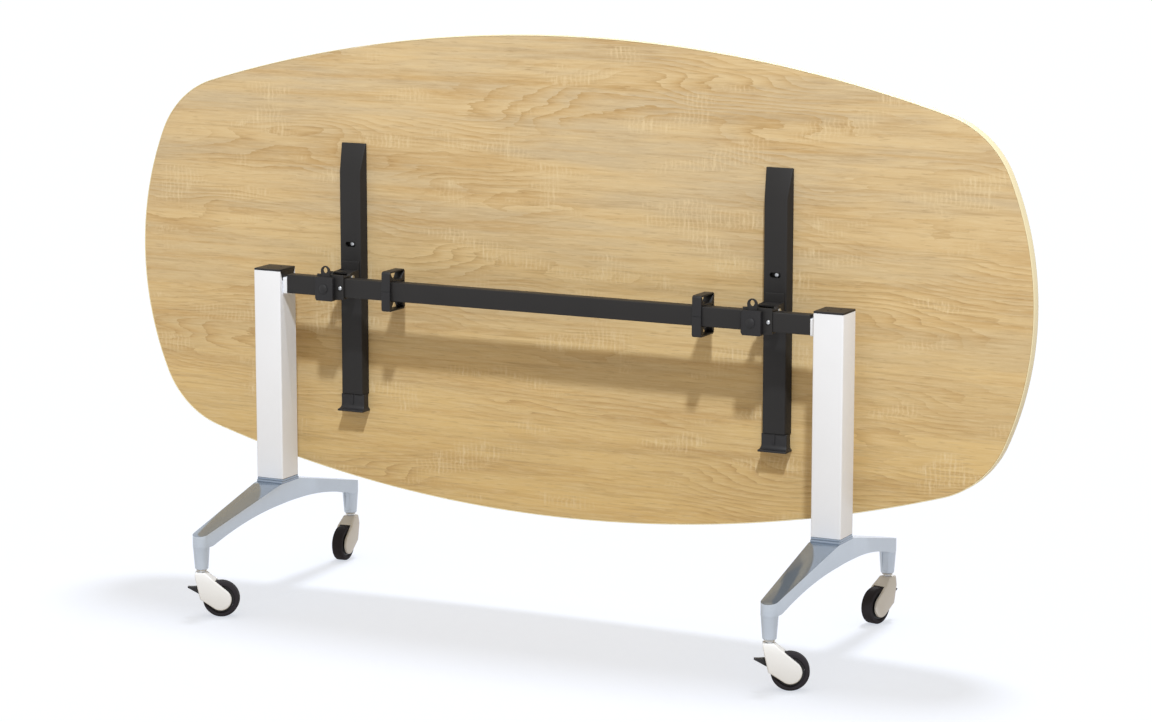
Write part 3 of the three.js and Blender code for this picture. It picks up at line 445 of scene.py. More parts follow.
class Shading:
    """A node tree whose sockets take part in Python expressions."""

    # Sockets of a Mix node that mixes colours
    FACTOR, FIRST, SECOND, RESULT = 0, 6, 7, 2

    def __init__(self, tree):
        self.nodes = tree.nodes
        self.links = tree.links

    def node(self, kind, settings, inputs, output=0):
        """Any node: its settings first, then the values or links of its sockets."""
        node = self.nodes.new(kind)
        for name, value in settings.items():
            setattr(node, name, value)
        for key, value in inputs.items():
            self.feed(node.inputs[key], value)
        return Signal(self, node.outputs[output])

    def feed(self, socket, value):
        """Links a signal to a socket, or sets the socket's own value."""
        if isinstance(value, Signal):
            self.links.new(value.socket, socket)
        elif hasattr(socket.default_value, "__len__") and len(socket.default_value) == 4 and len(value) == 3:
            socket.default_value = (*value, 1.0)
        else:
            socket.default_value = value

    def mix(self, factor, first, second, blend="MIX"):
        """A colour between two colours."""
        settings = {"data_type": "RGBA", "blend_type": blend}
        inputs = {self.FACTOR: factor, self.FIRST: first, self.SECOND: second}
        return self.node("ShaderNodeMix", settings, inputs, self.RESULT)

    def seen(self):
        """1 for rays from the camera, from shiny surfaces and through clear ones, and 0 for others."""
        kinds = ("Is Camera Ray", "Is Glossy Ray", "Is Transmission Ray")
        camera, glossy, through = [self.node("ShaderNodeLightPath", {}, {}, kind) for kind in kinds]
        return camera + glossy + through


class Finish(Shading):
    """A material built from nodes on Object coordinates."""

    def __init__(self, name):
        self.material = bpy.data.materials.new(name)
        self.material.use_nodes = True
        super().__init__(self.material.node_tree)
        self.shader = self.nodes["Principled BSDF"]
        self.place = self.node("ShaderNodeTexCoord", {}, {}, "Object")

    def stretched(self, across, deep, up):
        """Object coordinates with another scale on each axis."""
        return self.node("ShaderNodeMapping", {}, {"Vector": self.place, "Scale": (across, deep, up)})

    def noise(self, vector, scale, detail=2.0, roughness=0.5):
        """Noise from 0 to 1."""
        inputs = {"Vector": vector, "Scale": scale, "Detail": detail, "Roughness": roughness}
        return self.node("ShaderNodeTexNoise", {}, inputs)

    def along(self, axis):
        """One axis of the Object coordinates."""
        return self.node("ShaderNodeSeparateXYZ", {}, {0: self.place}, axis)

    def chance(self, value):
        """A random number from 0 to 1 that stays the same for the same value."""
        return self.node("ShaderNodeTexWhiteNoise", {"noise_dimensions": "1D"}, {"W": value})

    def shaded(self, base, share):
        """A colour times a share."""
        grey = self.node("ShaderNodeCombineColor", {}, {0: share, 1: share, 2: share})
        return self.mix(1.0, base, grey, "MULTIPLY")

    def bump(self, height, strength, distance):
        """A normal from a height."""
        inputs = {"Height": height, "Strength": strength, "Distance": distance}
        return self.node("ShaderNodeBump", {}, inputs)

    def set(self, **inputs):
        """Sets or links the shader's own sockets."""
        for name, value in inputs.items():
            self.feed(self.shader.inputs[name.replace("_", " ")], value)
        return self.material


def oak_print(colours):
    """Rough-sawn oak print, its grain along X: tone bands, growth lines with arches, pores and saw marks."""
    oak = Finish("oak_print")
    x, z = oak.along("X"), oak.along("Z")
    noise = {name: oak.noise(oak.stretched(*scale), 1.0, detail, roughness)
             for name, (scale, detail, roughness) in OAK_NOISE.items()}
    fibre, pores = noise["fibre"], noise["pores"].above(0.57, 0.70)
    tone = oak_bands(oak, z, noise, colours)
    tone = oak_growth(oak, z, noise, tone, colours)
    tone = oak.mix(noise["grain"].above(0.50, 0.74) * 0.40, tone, colours.oak_dark)
    tone = oak.mix(fibre.above(0.42, 0.72) * 0.42, tone, colours.oak_pale)
    tone = oak.mix(pores * 0.26, tone, colours.oak_pore)
    tone = oak.mix(saw_marks(x, noise), tone, colours.oak_pale)
    normal = oak.bump(fibre * 0.6 - pores * 0.5, strength=0.12, distance=0.0006)
    return oak.set(Base_Color=tone, Roughness=0.46 + fibre * 0.12, Normal=normal, Specular_IOR_Level=0.3)


def oak_bands(oak, z, noise, colours):
    """Grey and pale planks, with painted warm light towards the lower edge, and streaks along the grain."""
    luck = oak.chance((z * OAK_PLANKS + noise["swirl"] * 0.5).floor())
    pale = noise["clouds"].above(0.38, 0.60) * 0.70 + luck * 0.30
    tone = oak.mix(pale, colours.oak_grey, colours.oak)
    # Painted warm light, stronger towards the lower edge of the board.
    tone = oak.mix((1.0 - z).above(0.0, 0.8) * 0.6, tone, colours.oak_painted_warm_light)
    tone = oak.mix(noise["streaks"].above(0.46, 0.70) * 0.60, tone, colours.oak_warm)
    return oak.mix(noise["shade"].above(0.50, 0.72) * 0.42, tone, colours.oak_dark)


def oak_growth(oak, z, noise, tone, colours):
    """Growth lines that swirl into arches, drawn more strongly in places."""
    growth = (z * OAK_LINES + noise["swirl"] * 22.0 + noise["ripple"] * 1.2).fraction()
    drawn = noise["drawn"].above(0.42, 0.64)
    tone = oak.mix(growth ** 1.5 * (drawn * 0.72 + 0.06), tone, colours.oak_warm)
    return oak.mix(growth ** 6.0 * drawn * 0.42, tone, colours.oak_dark)


def saw_marks(x, noise):
    """How strongly the saw shows: even teeth and loose scores across the grain, in patches."""
    teeth = ((x * SAW_TEETH + noise["ripple"] * 12.0).wave() * 0.5 + 0.5) ** 3.0
    scores = noise["scores"].above(0.52, 0.70)
    return noise["sawn"].above(0.54, 0.64) * (teeth * 0.28 + scores * 0.46)


def speckled(name, base, depth, grain, rough, bump, **constants):
    """A moulded or coated finish: fine grain in colour, gloss and surface."""
    finish = Finish(name)
    fine = finish.noise(finish.place, scale=grain, detail=3.0, roughness=0.6)
    broad = finish.noise(finish.place, scale=14.0, detail=2.0)
    tone = finish.shaded(base, fine * depth + broad * depth + (1.0 - depth))
    normal = finish.bump(fine, strength=bump, distance=0.0004)
    return finish.set(Base_Color=tone, Roughness=rough + fine * 0.14, Normal=normal, **constants)


def brushed(name, base, rough, grain, metallic):
    """A metal with fine lines along X and a broad cloudiness."""
    finish = Finish(name)
    lines = finish.noise(finish.stretched(30.0, grain, grain), scale=1.0, detail=3.0, roughness=0.6)
    cloud = finish.noise(finish.place, scale=22.0, detail=3.0, roughness=0.55)
    tone = finish.shaded(base, lines * 0.10 + cloud * 0.14 + 0.88)
    normal = finish.bump(lines, strength=0.04, distance=0.0003)
    return finish.set(Base_Color=tone, Roughness=rough + cloud * 0.10, Normal=normal, Metallic=metallic)


def tyre_tread(colours):
    """Matt rubber with a dusty tread."""
    tyre = Finish("rubber_tread")
    dust = tyre.noise(tyre.place, scale=160.0, detail=4.0, roughness=0.7)
    tone = tyre.mix(dust.above(0.45, 0.85) * 0.35, colours.rubber, colours.dust)
    normal = tyre.bump(dust, strength=0.15, distance=0.0004)
    return tyre.set(Base_Color=tone, Roughness=0.62 + dust * 0.2, Normal=normal, Specular_IOR_Level=0.16)


def make_finishes():
    """Makes every finish of the table."""
    colours = bpy.context.scene.table_finishes
    oak_print(colours)
    tyre_tread(colours)
    speckled("cream_edging", colours.edging, depth=0.06, grain=90.0, rough=0.38, bump=0.05)
    speckled("black_powder_coat", colours.black, depth=0.30, grain=900.0, rough=0.44, bump=0.10,
             Specular_IOR_Level=0.32)
    speckled("black_moulding", colours.moulding, depth=0.25, grain=1400.0, rough=0.42, bump=0.12,
             Specular_IOR_Level=0.36)
    speckled("white_powder_coat", colours.white, depth=0.05, grain=1100.0, rough=0.42, bump=0.22)
    speckled("warm_white_moulding", colours.warm_white, depth=0.05, grain=300.0, rough=0.34, bump=0.04)
    brushed("zinc_steel", colours.zinc, rough=0.26, grain=600.0, metallic=1.0)
    brushed("satin_aluminium", colours.aluminium, rough=0.36, grain=500.0, metallic=0.75)
    # The polished finish's dark colour is partly painted dark reflection.
    brushed("polished_aluminium", colours.polished, rough=0.06, grain=300.0, metallic=0.62)


def finish_named(name):
    """A finish by its name. All are made the first time that one is asked for."""
    if name not in bpy.data.materials:
        make_finishes()
    return bpy.data.materials[name]


# Places and outlines


def middle(node):
    """The centre of a node's box at rest."""
    low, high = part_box(node)
    return (low + high) / 2


def inner_face(side, sign):
    """Where the inner wall of a column lies along X."""
    low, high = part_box(f"column_{side}")
    return high.x if sign < 0 else low.x


def arc(centre, radius, start, end, steps):
    """Points along a circular arc, both ends included."""
    turn = (end - start) / steps
    angles = [start + turn * step for step in range(steps + 1)]
    return [(centre[0] + radius * math.cos(a), centre[1] + radius * math.sin(a)) for a in angles]


def ring(centre, radius, steps):
    """Points round a circle."""
    return arc(centre, radius, 0.0, 2 * math.pi, steps)[:-1]


def ramp(place, start, end):
    """The value at a place: level up to start, then in a straight line to end, each a (place, value)."""
    share = max(place - start[0], 0.0) / (end[0] - start[0])
    return start[1] + share * (end[1] - start[1])


def rectangle(low, high):
    """The corners of a rectangle from its low to its high corner."""
    return [low, (high[0], low[1]), high, (low[0], high[1])]


def rounded_rectangle(low, high, radius, steps=6):
    """A rectangle from its low to its high corner with round corners."""
    centres = ((high[0] - radius, high[1] - radius), (low[0] + radius, high[1] - radius),
               (low[0] + radius, low[1] + radius), (high[0] - radius, low[1] + radius))
    return [point for index, centre in enumerate(centres)
            for point in arc(centre, radius, index * QUARTER, (index + 1) * QUARTER, steps)]


def mirrored(profile):
    """The points of a turned profile on the other side of height 0, in the reverse order."""
    return [(radius, -height) for radius, height in reversed(profile)]


def touch_angle(point, centre, radius, turn):
    """The angle at a circle's centre where a line from a point touches the circle."""
    across, up = point[0] - centre[0], point[1] - centre[1]
    return math.atan2(up, across) + turn * math.acos(radius / math.hypot(across, up))


def top_outline(top, inset):
    """Two long arcs and two end arcs, with a corner arc that touches each pair from inside."""
    long_centre = (0.0, top.width / 2 - top.long_radius)
    end_centre = (top.length / 2 - top.end_radius, 0.0)
    reach = top.long_radius - top.corner_radius
    apart = math.hypot(end_centre[0], long_centre[1])
    lean = (reach ** 2 + apart ** 2 - (top.end_radius - top.corner_radius) ** 2) / (2 * reach * apart)
    long_angle = math.atan2(-long_centre[1], end_centre[0]) - math.acos(lean)
    corner = (reach * math.cos(long_angle), long_centre[1] + reach * math.sin(long_angle))
    far_corner = (-corner[0], corner[1])
    end_angle = math.atan2(corner[1], corner[0] - end_centre[0])
    arcs = (
        (end_centre, top.end_radius, -end_angle, end_angle, TOP_END_STEPS),
        (corner, top.corner_radius, end_angle, long_angle, TOP_CORNER_STEPS),
        (long_centre, top.long_radius, long_angle, math.pi - long_angle, TOP_SIDE_STEPS),
        (far_corner, top.corner_radius, math.pi - long_angle, math.pi - end_angle, TOP_CORNER_STEPS),
    )
    half = [point for centre, radius, start, end, steps in arcs
            for point in arc(centre, radius - inset, start, end, steps)[:-1]]
    return half + [(-across, -up) for across, up in half]


def ear_outline(centre, radius, foot, low, high):
    """A plate outline from a straight foot to a round end about a centre, on the side away from the foot."""
    turn = math.copysign(1.0, foot - centre[0])
    start = touch_angle((foot, high), centre, radius, turn)
    end = touch_angle((foot, low), centre, radius, -turn)
    sweep = math.fmod(end - start + 4 * math.pi * turn, 2 * math.pi)
    return [(foot, high), *arc(centre, radius, start, start + sweep, steps=28), (foot, low)]


# Meshes


def object_from(name, mesh, finish):
    """Links a mesh as an object with one finish."""
    made = bpy.data.objects.new(name, mesh)
    bpy.context.scene.collection.objects.link(made)
    mesh.materials.clear()
    mesh.materials.append(finish_named(finish))
    return made


def object_from_bmesh(name, work, finish):
    """Closes a mesh in the making and links it as an object."""
    bmesh.ops.remove_doubles(work, verts=work.verts, dist=MERGE)
    bmesh.ops.dissolve_degenerate(work, edges=work.edges, dist=SLIVER)
    bmesh.ops.recalc_face_normals(work, faces=work.faces)
    mesh = bpy.data.meshes.new(name)
    work.to_mesh(mesh)
    work.free()
    return object_from(name, mesh, finish)


def plate(name, finish, loops, low, high, edge, way):
    """A flat piece with rounded edges: loops in its plane, run from low to high through its thickness."""
    curve = bpy.data.curves.new(name, "CURVE")
    curve.dimensions = "2D"
    curve.fill_mode = "BOTH"
    curve.extrude = (high - low) / 2 - edge
    curve.bevel_depth = edge
    curve.bevel_resolution = EDGE_STEPS
    curve.offset = -edge
    for loop in loops:
        spline = curve.splines.new("POLY")
        spline.points.add(len(loop) - 1)
        for point, (across, up) in zip(spline.points, loop):
            point.co = (across, up, 0.0, 1.0)
        spline.use_cyclic_u = True
    holder = bpy.data.objects.new(name, curve)
    bpy.context.scene.collection.objects.link(holder)
    graph = bpy.context.evaluated_depsgraph_get()
    mesh = bpy.data.meshes.new_from_object(holder.evaluated_get(graph))
    bpy.data.objects.remove(holder)
    bpy.data.curves.remove(curve)
    work = bmesh.new()
    work.from_mesh(mesh)
    bpy.data.meshes.remove(mesh)
    work.transform(way @ Matrix.Translation((0.0, 0.0, (low + high) / 2)))
    return object_from_bmesh(name, work, finish)


def turned(name, finish, profile, place, axis, steps):
    """A profile of (radius, height) points turned about an axis through a place."""
    work = bmesh.new()
    rings = []
    for radius, height in profile:
        if radius < MERGE:
            rings.append([work.verts.new((0.0, 0.0, height))] * steps)
        else:
            rings.append([work.verts.new((x, y, height)) for x, y in ring((0.0, 0.0), radius, steps)])
    for lower, upper in zip(rings, rings[1:]):
        for index in range(steps):
            after = (index + 1) % steps
            corners = list(dict.fromkeys((lower[index], lower[after], upper[after], upper[index])))
            if len(corners) > 2:
                work.faces.new(corners)
    work.transform(Matrix.Translation(place) @ TURNS[axis])
    return object_from_bmesh(name, work, finish)


def lofted(name, finish, rings):
    """A skin over rings of equal count, with a face on each end."""
    work = bmesh.new()
    rows = [[work.verts.new(point) for point in points] for points in rings]
    count = len(rows[0])
    for lower, upper in zip(rows, rows[1:]):
        for index in range(count):
            after = (index + 1) % count
            work.faces.new((lower[index], lower[after], upper[after], upper[index]))
    work.faces.new(rows[0][::-1])
    work.faces.new(rows[-1])
    return object_from_bmesh(name, work, finish)


def hull(name, finish, points):
    """The convex block over some points."""
    work = bmesh.new()
    for point in points:
        work.verts.new(point)
    bmesh.ops.convex_hull(work, input=work.verts)
    bmesh.ops.dissolve_limit(work, angle_limit=FLAT_ANGLE, verts=work.verts, edges=work.edges)
    return object_from_bmesh(name, work, finish)


def with_modifiers_applied(piece):
    """Turns a piece with modifiers into a plain mesh."""
    graph = bpy.context.evaluated_depsgraph_get()
    mesh = bpy.data.meshes.new_from_object(piece.evaluated_get(graph))
    piece.modifiers.clear()
    old = piece.data
    piece.data = mesh
    bpy.data.meshes.remove(old)
    return piece


def bevelled(piece, width, segments=3, angle=30.0):
    """Rounds the edges that bend by more than an angle in degrees."""
    bevel = piece.modifiers.new("edges", "BEVEL")
    bevel.width = width
    bevel.segments = segments
    bevel.limit_method = "ANGLE"
    bevel.angle_limit = math.radians(angle)
    return with_modifiers_applied(piece)


def discard(piece):
    """Removes an object and its mesh."""
    mesh = piece.data
    bpy.data.objects.remove(piece)
    bpy.data.meshes.remove(mesh)


def combined(piece, operation, tools):
    """Cuts tools from a piece or adds them, and removes the tools."""
    for tool in tools:
        boolean = piece.modifiers.new("tool", "BOOLEAN")
        boolean.operation = operation
        boolean.solver = "EXACT"
        boolean.object = tool
        with_modifiers_applied(piece)
        discard(tool)
    return piece


def carved(piece, *tools):
    """Cuts tools from a piece."""
    return combined(piece, "DIFFERENCE", tools)


def fused(piece, *others):
    """Makes one skin of a piece and others."""
    return combined(piece, "UNION", others)


def settled(piece, body, slot, *nodes):
    """Smooths a finished piece, gives it its body and hides the nodes it stands for; the record finish that
    it is given is not used.
    """
    piece.data.shade_smooth()
    piece.data.set_sharp_from_angle(angle=SMOOTH_ANGLE)
    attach(piece, body)
    if nodes:
        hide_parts(*nodes)


# The table top


class TABLE_OT_top(bpy.types.Operator):
    """Makes the board and its edging."""

    bl_idname = "table.make_top"
    bl_label = "Top"

    def execute(self, context):
        top = context.scene.table_top_sizes
        low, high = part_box("edge_band")
        centre = middle("edge_band")
        way = Matrix.Translation((centre.x, 0.0, centre.z)) @ BACK
        outline = top_outline(top, top.band + top.seat)
        board = plate("board", "oak_print", [outline], low.y, high.y, top.edge, way)
        settled(board, "table_top", "oak_board", "table_board")
        loops = [top_outline(top, 0.0), top_outline(top, top.band)]
        edging = plate("edging", "cream_edging", loops, low.y, high.y, top.edge, way)
        settled(edging, "table_top", "edge_band", "edge_band")
        return {"FINISHED"}


class TABLE_OT_arms(bpy.types.Operator):
    """Makes the two support arms and their end bumpers."""

    bl_idname = "table.make_arms"
    bl_label = "Arms"

    def execute(self, context):
        sizes = context.scene.table_arm_sizes
        for side, _ in ENDS:
            self.arm(sizes, side)
            self.bumper(sizes, side)
        return {"FINISHED"}

    def arm(self, sizes, side):
        """A pressed arm with sloping sides, a sloping upper end and a screw access."""
        node = f"support_arm_{side}"
        low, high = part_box(node)
        centre = middle(node)
        base_half = (high.x - low.x) / 2
        face_half = sizes.face_width / 2
        slope = (base_half - face_half) / (high.y - low.y)
        tip = high.y - sizes.tip_depth
        tip_half = base_half - slope * sizes.tip_depth
        corners = ((face_half, low.y, low.z), (base_half, high.y, low.z),
                   (face_half, low.y, high.z - sizes.bevel_length),
                   (tip_half, tip, high.z), (base_half, high.y, high.z))
        points = [(centre.x + sign * half, y, z) for half, y, z in corners for sign in (-1, 1)]
        arm = bevelled(hull(f"arm_{side}", "black_powder_coat", points), sizes.edge)
        across, up = sizes.access_length / 2, sizes.access_breadth / 2
        level, depth = FLIP.z + sizes.access_rise, sizes.access_depth
        slot = rounded_rectangle((centre.x - across, level - up), (centre.x + across, level + up),
                                 up * OBLONG_ROUND)
        carved(arm, plate("access", "black_powder_coat", [slot], low.y - depth, low.y + depth, 0.0, BACK))
        settled(arm, "table_top", "black_steel", node)

    def bumper(self, sizes, side):
        """A plastic end with a ribbed neck that flares to a lip."""
        node = f"arm_bumper_{side}"
        low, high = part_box(node)
        arm_low, arm_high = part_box(f"support_arm_{side}")
        centre = middle(node)
        neck_half = (arm_high.x - arm_low.x) / 2 - sizes.neck_inset
        neck_front = arm_low.y + sizes.neck_inset
        neck_top, neck_bottom = arm_low.z, arm_low.z - sizes.neck_height
        flare_half = (high.x - low.x) / 2
        lip_top = low.z + sizes.lip_height
        levels = [(neck_half, neck_front, neck_top)]
        for out, down in arc((1.0, 0.0), 1.0, math.pi, QUARTER, steps=6):
            half = neck_half + (flare_half - neck_half) * out
            front = neck_front + (low.y - neck_front) * out
            levels.append((half, front, neck_bottom + (lip_top - neck_bottom) * down))
        levels.append((flare_half, low.y, low.z))
        rings = [[(x, y, z) for x, y in rectangle((centre.x - half, front), (centre.x + half, high.y))]
                 for half, front, z in levels]
        bumper = bevelled(lofted(f"bumper_{side}", "black_moulding", rings), sizes.bumper_edge)
        rib_half, rise = sizes.rib_width / 2, sizes.rib_rise
        rib = rounded_rectangle((centre.x - rib_half, neck_bottom), (centre.x + rib_half, neck_top),
                                rib_half * OBLONG_ROUND)
        fused(bumper, plate("rib", "black_moulding", [rib], neck_front - rise, neck_front + rise,
                            rise / 2, BACK))
        settled(bumper, "table_top", "black_plastic", node)


# The beam and what it carries


class TABLE_OT_beam(bpy.types.Operator):
    """Makes the beam and its white collars."""

    bl_idname = "table.make_beam"
    bl_label = "Beam"

    def execute(self, context):
        sizes = context.scene.table_beam_sizes
        low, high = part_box("beam")
        outline = rounded_rectangle((low.y, low.z), (high.y, high.z), sizes.corner)
        beam = plate("beam_tube", "black_powder_coat", [outline], low.x, high.x, sizes.beam_edge, ACROSS)
        settled(beam, "base", "black_steel", "beam")
        for side, sign in ENDS:
            self.collar(sizes, side, sign)
        return {"FINISHED"}

    def collar(self, sizes, side, sign):
        """A white plate between the beam's end and the column."""
        node = f"beam_collar_{side}"
        low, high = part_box(node)
        beam_low, beam_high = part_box("beam")
        beam_end = beam_low.x if sign < 0 else beam_high.x
        ends = sorted((inner_face(side, sign) - sign * sizes.seat, beam_end + sign * sizes.seat))
        top = beam_high.z - sizes.collar_inset
        outline = rounded_rectangle((low.y, low.z), (high.y, top), sizes.collar_corner)
        collar = plate(f"collar_{side}", "white_powder_coat", [outline], *ends, sizes.collar_edge, ACROSS)
        settled(collar, "base", "white_paint", node)


class TABLE_OT_hinges(bpy.types.Operator):
    """Makes the hinge saddles, leaves and pins."""

    bl_idname = "table.make_hinges"
    bl_label = "Hinges"

    def execute(self, context):
        sizes = context.scene.table_beam_sizes
        for side, _ in ENDS:
            self.saddle(sizes, side)
            self.leaf(sizes, side)
            self.pin(sizes, side)
        return {"FINISHED"}

    def saddle(self, sizes, side):
        """A sleeve round the beam with a front plate and two cheeks for the pin."""
        node = f"hinge_saddle_{side}"
        sleeve = self.sleeve(sizes, side)
        fused(sleeve, self.front(sizes, node), *self.cheeks(sizes, side))
        settled(sleeve, "base", "black_steel", node)

    def sleeve(self, sizes, side):
        """Sheet bent round the beam, as wide as the arm."""
        beam_low, beam_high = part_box("beam")
        arm_low, arm_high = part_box(f"support_arm_{side}")
        loops = []
        for wall in (sizes.saddle_wall, 0.0):
            out = sizes.seat + wall
            loops.append(rounded_rectangle((beam_low.y - out, beam_low.z - out),
                                           (beam_high.y + out, beam_high.z + out), sizes.corner + wall))
        return plate(f"saddle_{side}", "black_powder_coat", loops, arm_low.x, arm_high.x,
                     sizes.saddle_edge, ACROSS)

    def front(self, sizes, node):
        """The plate in front of the beam, its lower edge a shallow bow."""
        low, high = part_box(node)
        beam_low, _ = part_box("beam")
        bottom, steps = beam_low.z - sizes.plate_margin, 24
        shares = [step / steps for step in range(steps + 1)]
        bow = [(low.x + (high.x - low.x) * share, bottom - sizes.plate_sag * math.sin(math.pi * share))
               for share in shares]
        outline = [*bow, (high.x, high.z), (low.x, high.z)]
        return plate("front", "black_powder_coat", [outline], low.y, beam_low.y - sizes.seat,
                     sizes.saddle_edge, BACK)

    def cheeks(self, sizes, side):
        """The saddle's two cheeks, one outside each ear of the leaf."""
        _, beam_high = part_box("beam")
        leaf_low, leaf_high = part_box(f"hinge_leaf_{side}")
        foot = beam_high.y + sizes.seat + sizes.saddle_wall / 2
        low = FLIP.z - sizes.cheek_drop
        outline = ear_outline((FLIP.y, FLIP.z), sizes.cheek_radius, foot, low, beam_high.z)
        starts = (leaf_low.x - sizes.slide - sizes.cheek_wall, leaf_high.x + sizes.slide)
        return self.lugs(sizes, "cheek", outline, starts)

    def lugs(self, sizes, name, outline, starts):
        """Two upright plates, bored for the pin, each from a start along X."""
        bore = ring((FLIP.y, FLIP.z), sizes.pin_radius + sizes.seat, steps=32)
        return [plate(name, "black_powder_coat", [outline, bore], start, start + sizes.cheek_wall,
                      sizes.saddle_edge, ACROSS) for start in starts]

    def leaf(self, sizes, side):
        """A plate on the arm with two ears and a web between them."""
        node = f"hinge_leaf_{side}"
        low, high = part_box(node)
        wall, half = sizes.leaf_wall, sizes.ear_foot / 2
        outline = rounded_rectangle((low.x, low.z), (high.x, high.z), sizes.leaf_corner)
        leaf = plate(f"leaf_{side}", "black_powder_coat", [outline], high.y - wall, high.y,
                     sizes.saddle_edge, BACK)
        foot = high.y - wall / 2
        ear = ear_outline((FLIP.y, FLIP.z), sizes.ear_radius, foot, FLIP.z - half, FLIP.z + half)
        ears = self.lugs(sizes, "ear", ear, (low.x, high.x - sizes.cheek_wall))
        roof = FLIP.z + sizes.ear_radius
        web = rectangle((FLIP.y, roof - wall), (foot, roof))
        fused(leaf, *ears, plate("web", "black_powder_coat", [web], low.x + wall, high.x - wall, 0.0, ACROSS))
        settled(leaf, "table_top", "black_steel", node)

    def pin(self, sizes, side):
        """A pin with a chamfered head on each end."""
        node = f"hinge_pin_{side}"
        low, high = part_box(node)
        half = (high.x - low.x) / 2
        neck = half - sizes.pin_head_height
        head, radius, edge = sizes.pin_head, sizes.pin_radius, sizes.pin_edge
        lower = [(0.0, -half), (head - edge, -half), (head, -half + edge), (head, -neck), (radius, -neck)]
        place = (middle(node).x, FLIP.y, FLIP.z)
        pin = turned(f"pin_{side}", "zinc_steel", lower + mirrored(lower), place, "X", steps=40)
        settled(pin, "base", "bright_steel", node)


class TABLE_OT_latches(bpy.types.Operator):
    """Makes the latch housings, levers and rivets."""

    bl_idname = "table.make_latches"
    bl_label = "Latches"

    def execute(self, context):
        sizes = context.scene.table_latch_sizes
        for side, _ in ENDS:
            rivet = PIVOTS[f"latch_release_{side}"]
            self.housing(sizes, side, rivet)
            self.lever(sizes, side, rivet)
            self.rivet(sizes, side, rivet)
        return {"FINISHED"}

    def housing(self, sizes, side, rivet):
        """A box with a sloping left side and a cut corner, hollow behind for the lever."""
        node = f"latch_housing_{side}"
        low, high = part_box(node)
        corner = sizes.corner
        outline = [
            *arc((high.x - corner, high.z - corner), corner, 0.0, QUARTER, steps=5),
            *arc((low.x + corner, high.z - corner), corner, QUARTER, math.pi, steps=5),
            (low.x, low.z + sizes.chamfer), (low.x + sizes.chamfer, low.z),
            *arc((high.x - corner, low.z + corner), corner, -QUARTER, 0.0, steps=5),
        ]
        shown = [(max(x, low.x + sizes.bevel), z) for x, z in outline]
        layers = ((outline, high.y), (outline, low.y + sizes.bevel), (shown, low.y))
        rings = [[(x, y, z) for x, z in loop] for loop, y in layers]
        housing = lofted(f"latch_box_{side}", "black_moulding", rings)
        bevelled(housing, sizes.edge, segments=2, angle=34.0)
        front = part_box(f"latch_lever_{side}")[0].y - sizes.slide
        wall = sizes.wall
        pocket = rectangle((low.x + wall, rivet.z - sizes.floor), (high.x - wall, high.z + wall))
        carved(housing, plate("pocket", "black_moulding", [pocket], front, high.y + wall, 0.0, BACK))
        settled(housing, "base", "black_plastic", node)

    def lever(self, sizes, side, rivet):
        """A flat lever with a round hub and an eye in its tab."""
        node = f"latch_lever_{side}"
        low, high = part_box(node)
        half = sizes.tab_width / 2
        centre = rivet.x + sizes.tab_offset
        hub = sizes.hub_radius
        lean = math.acos((centre - half - rivet.x) / hub)
        tab = arc((centre, high.z - half), half, 0.0, math.pi, steps=20)
        under = arc((rivet.x, rivet.z), hub, lean, 2 * math.pi, steps=24)
        outline = [(centre + half, rivet.z), *tab, *under]
        eye_half, eye_rise = sizes.eye_width / 2, sizes.eye_height / 2
        eye_centre = high.z - sizes.eye_wall - eye_rise
        eye = [(centre + x * eye_half, eye_centre + z * eye_rise) for x, z in ring((0.0, 0.0), 1.0, steps=28)]
        lever = plate(f"lever_{side}", "black_powder_coat", [outline, eye], low.y, high.y,
                      sizes.lever_edge, BACK)
        settled(lever, f"latch_{side}", "black_steel", node)

    def rivet(self, sizes, side, rivet):
        """A rivet with a flat dome on an upright rim."""
        node = f"latch_rivet_{side}"
        low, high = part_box(node)
        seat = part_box(f"latch_housing_{side}")[0].y - sizes.rivet_seat
        rim = seat - sizes.rivet_rim
        head, rise, shank = (high.x - low.x) / 2, rim - low.y, sizes.rivet_radius
        dome_radius = (head ** 2 + rise ** 2) / (2 * rise)
        reach, steps = math.asin(head / dome_radius), 8
        angles = [reach * step / steps for step in range(steps + 1)]
        dome = [(dome_radius * math.sin(angle), low.y + dome_radius * (1 - math.cos(angle)))
                for angle in angles]
        profile = [*dome, (head, seat), (shank, seat), (shank, high.y), (0.0, high.y)]
        place = (rivet.x, 0.0, rivet.z)
        piece = turned(f"rivet_{side}", "black_moulding", profile, place, "Y", steps=48)
        settled(piece, "base", "black_plastic", node)


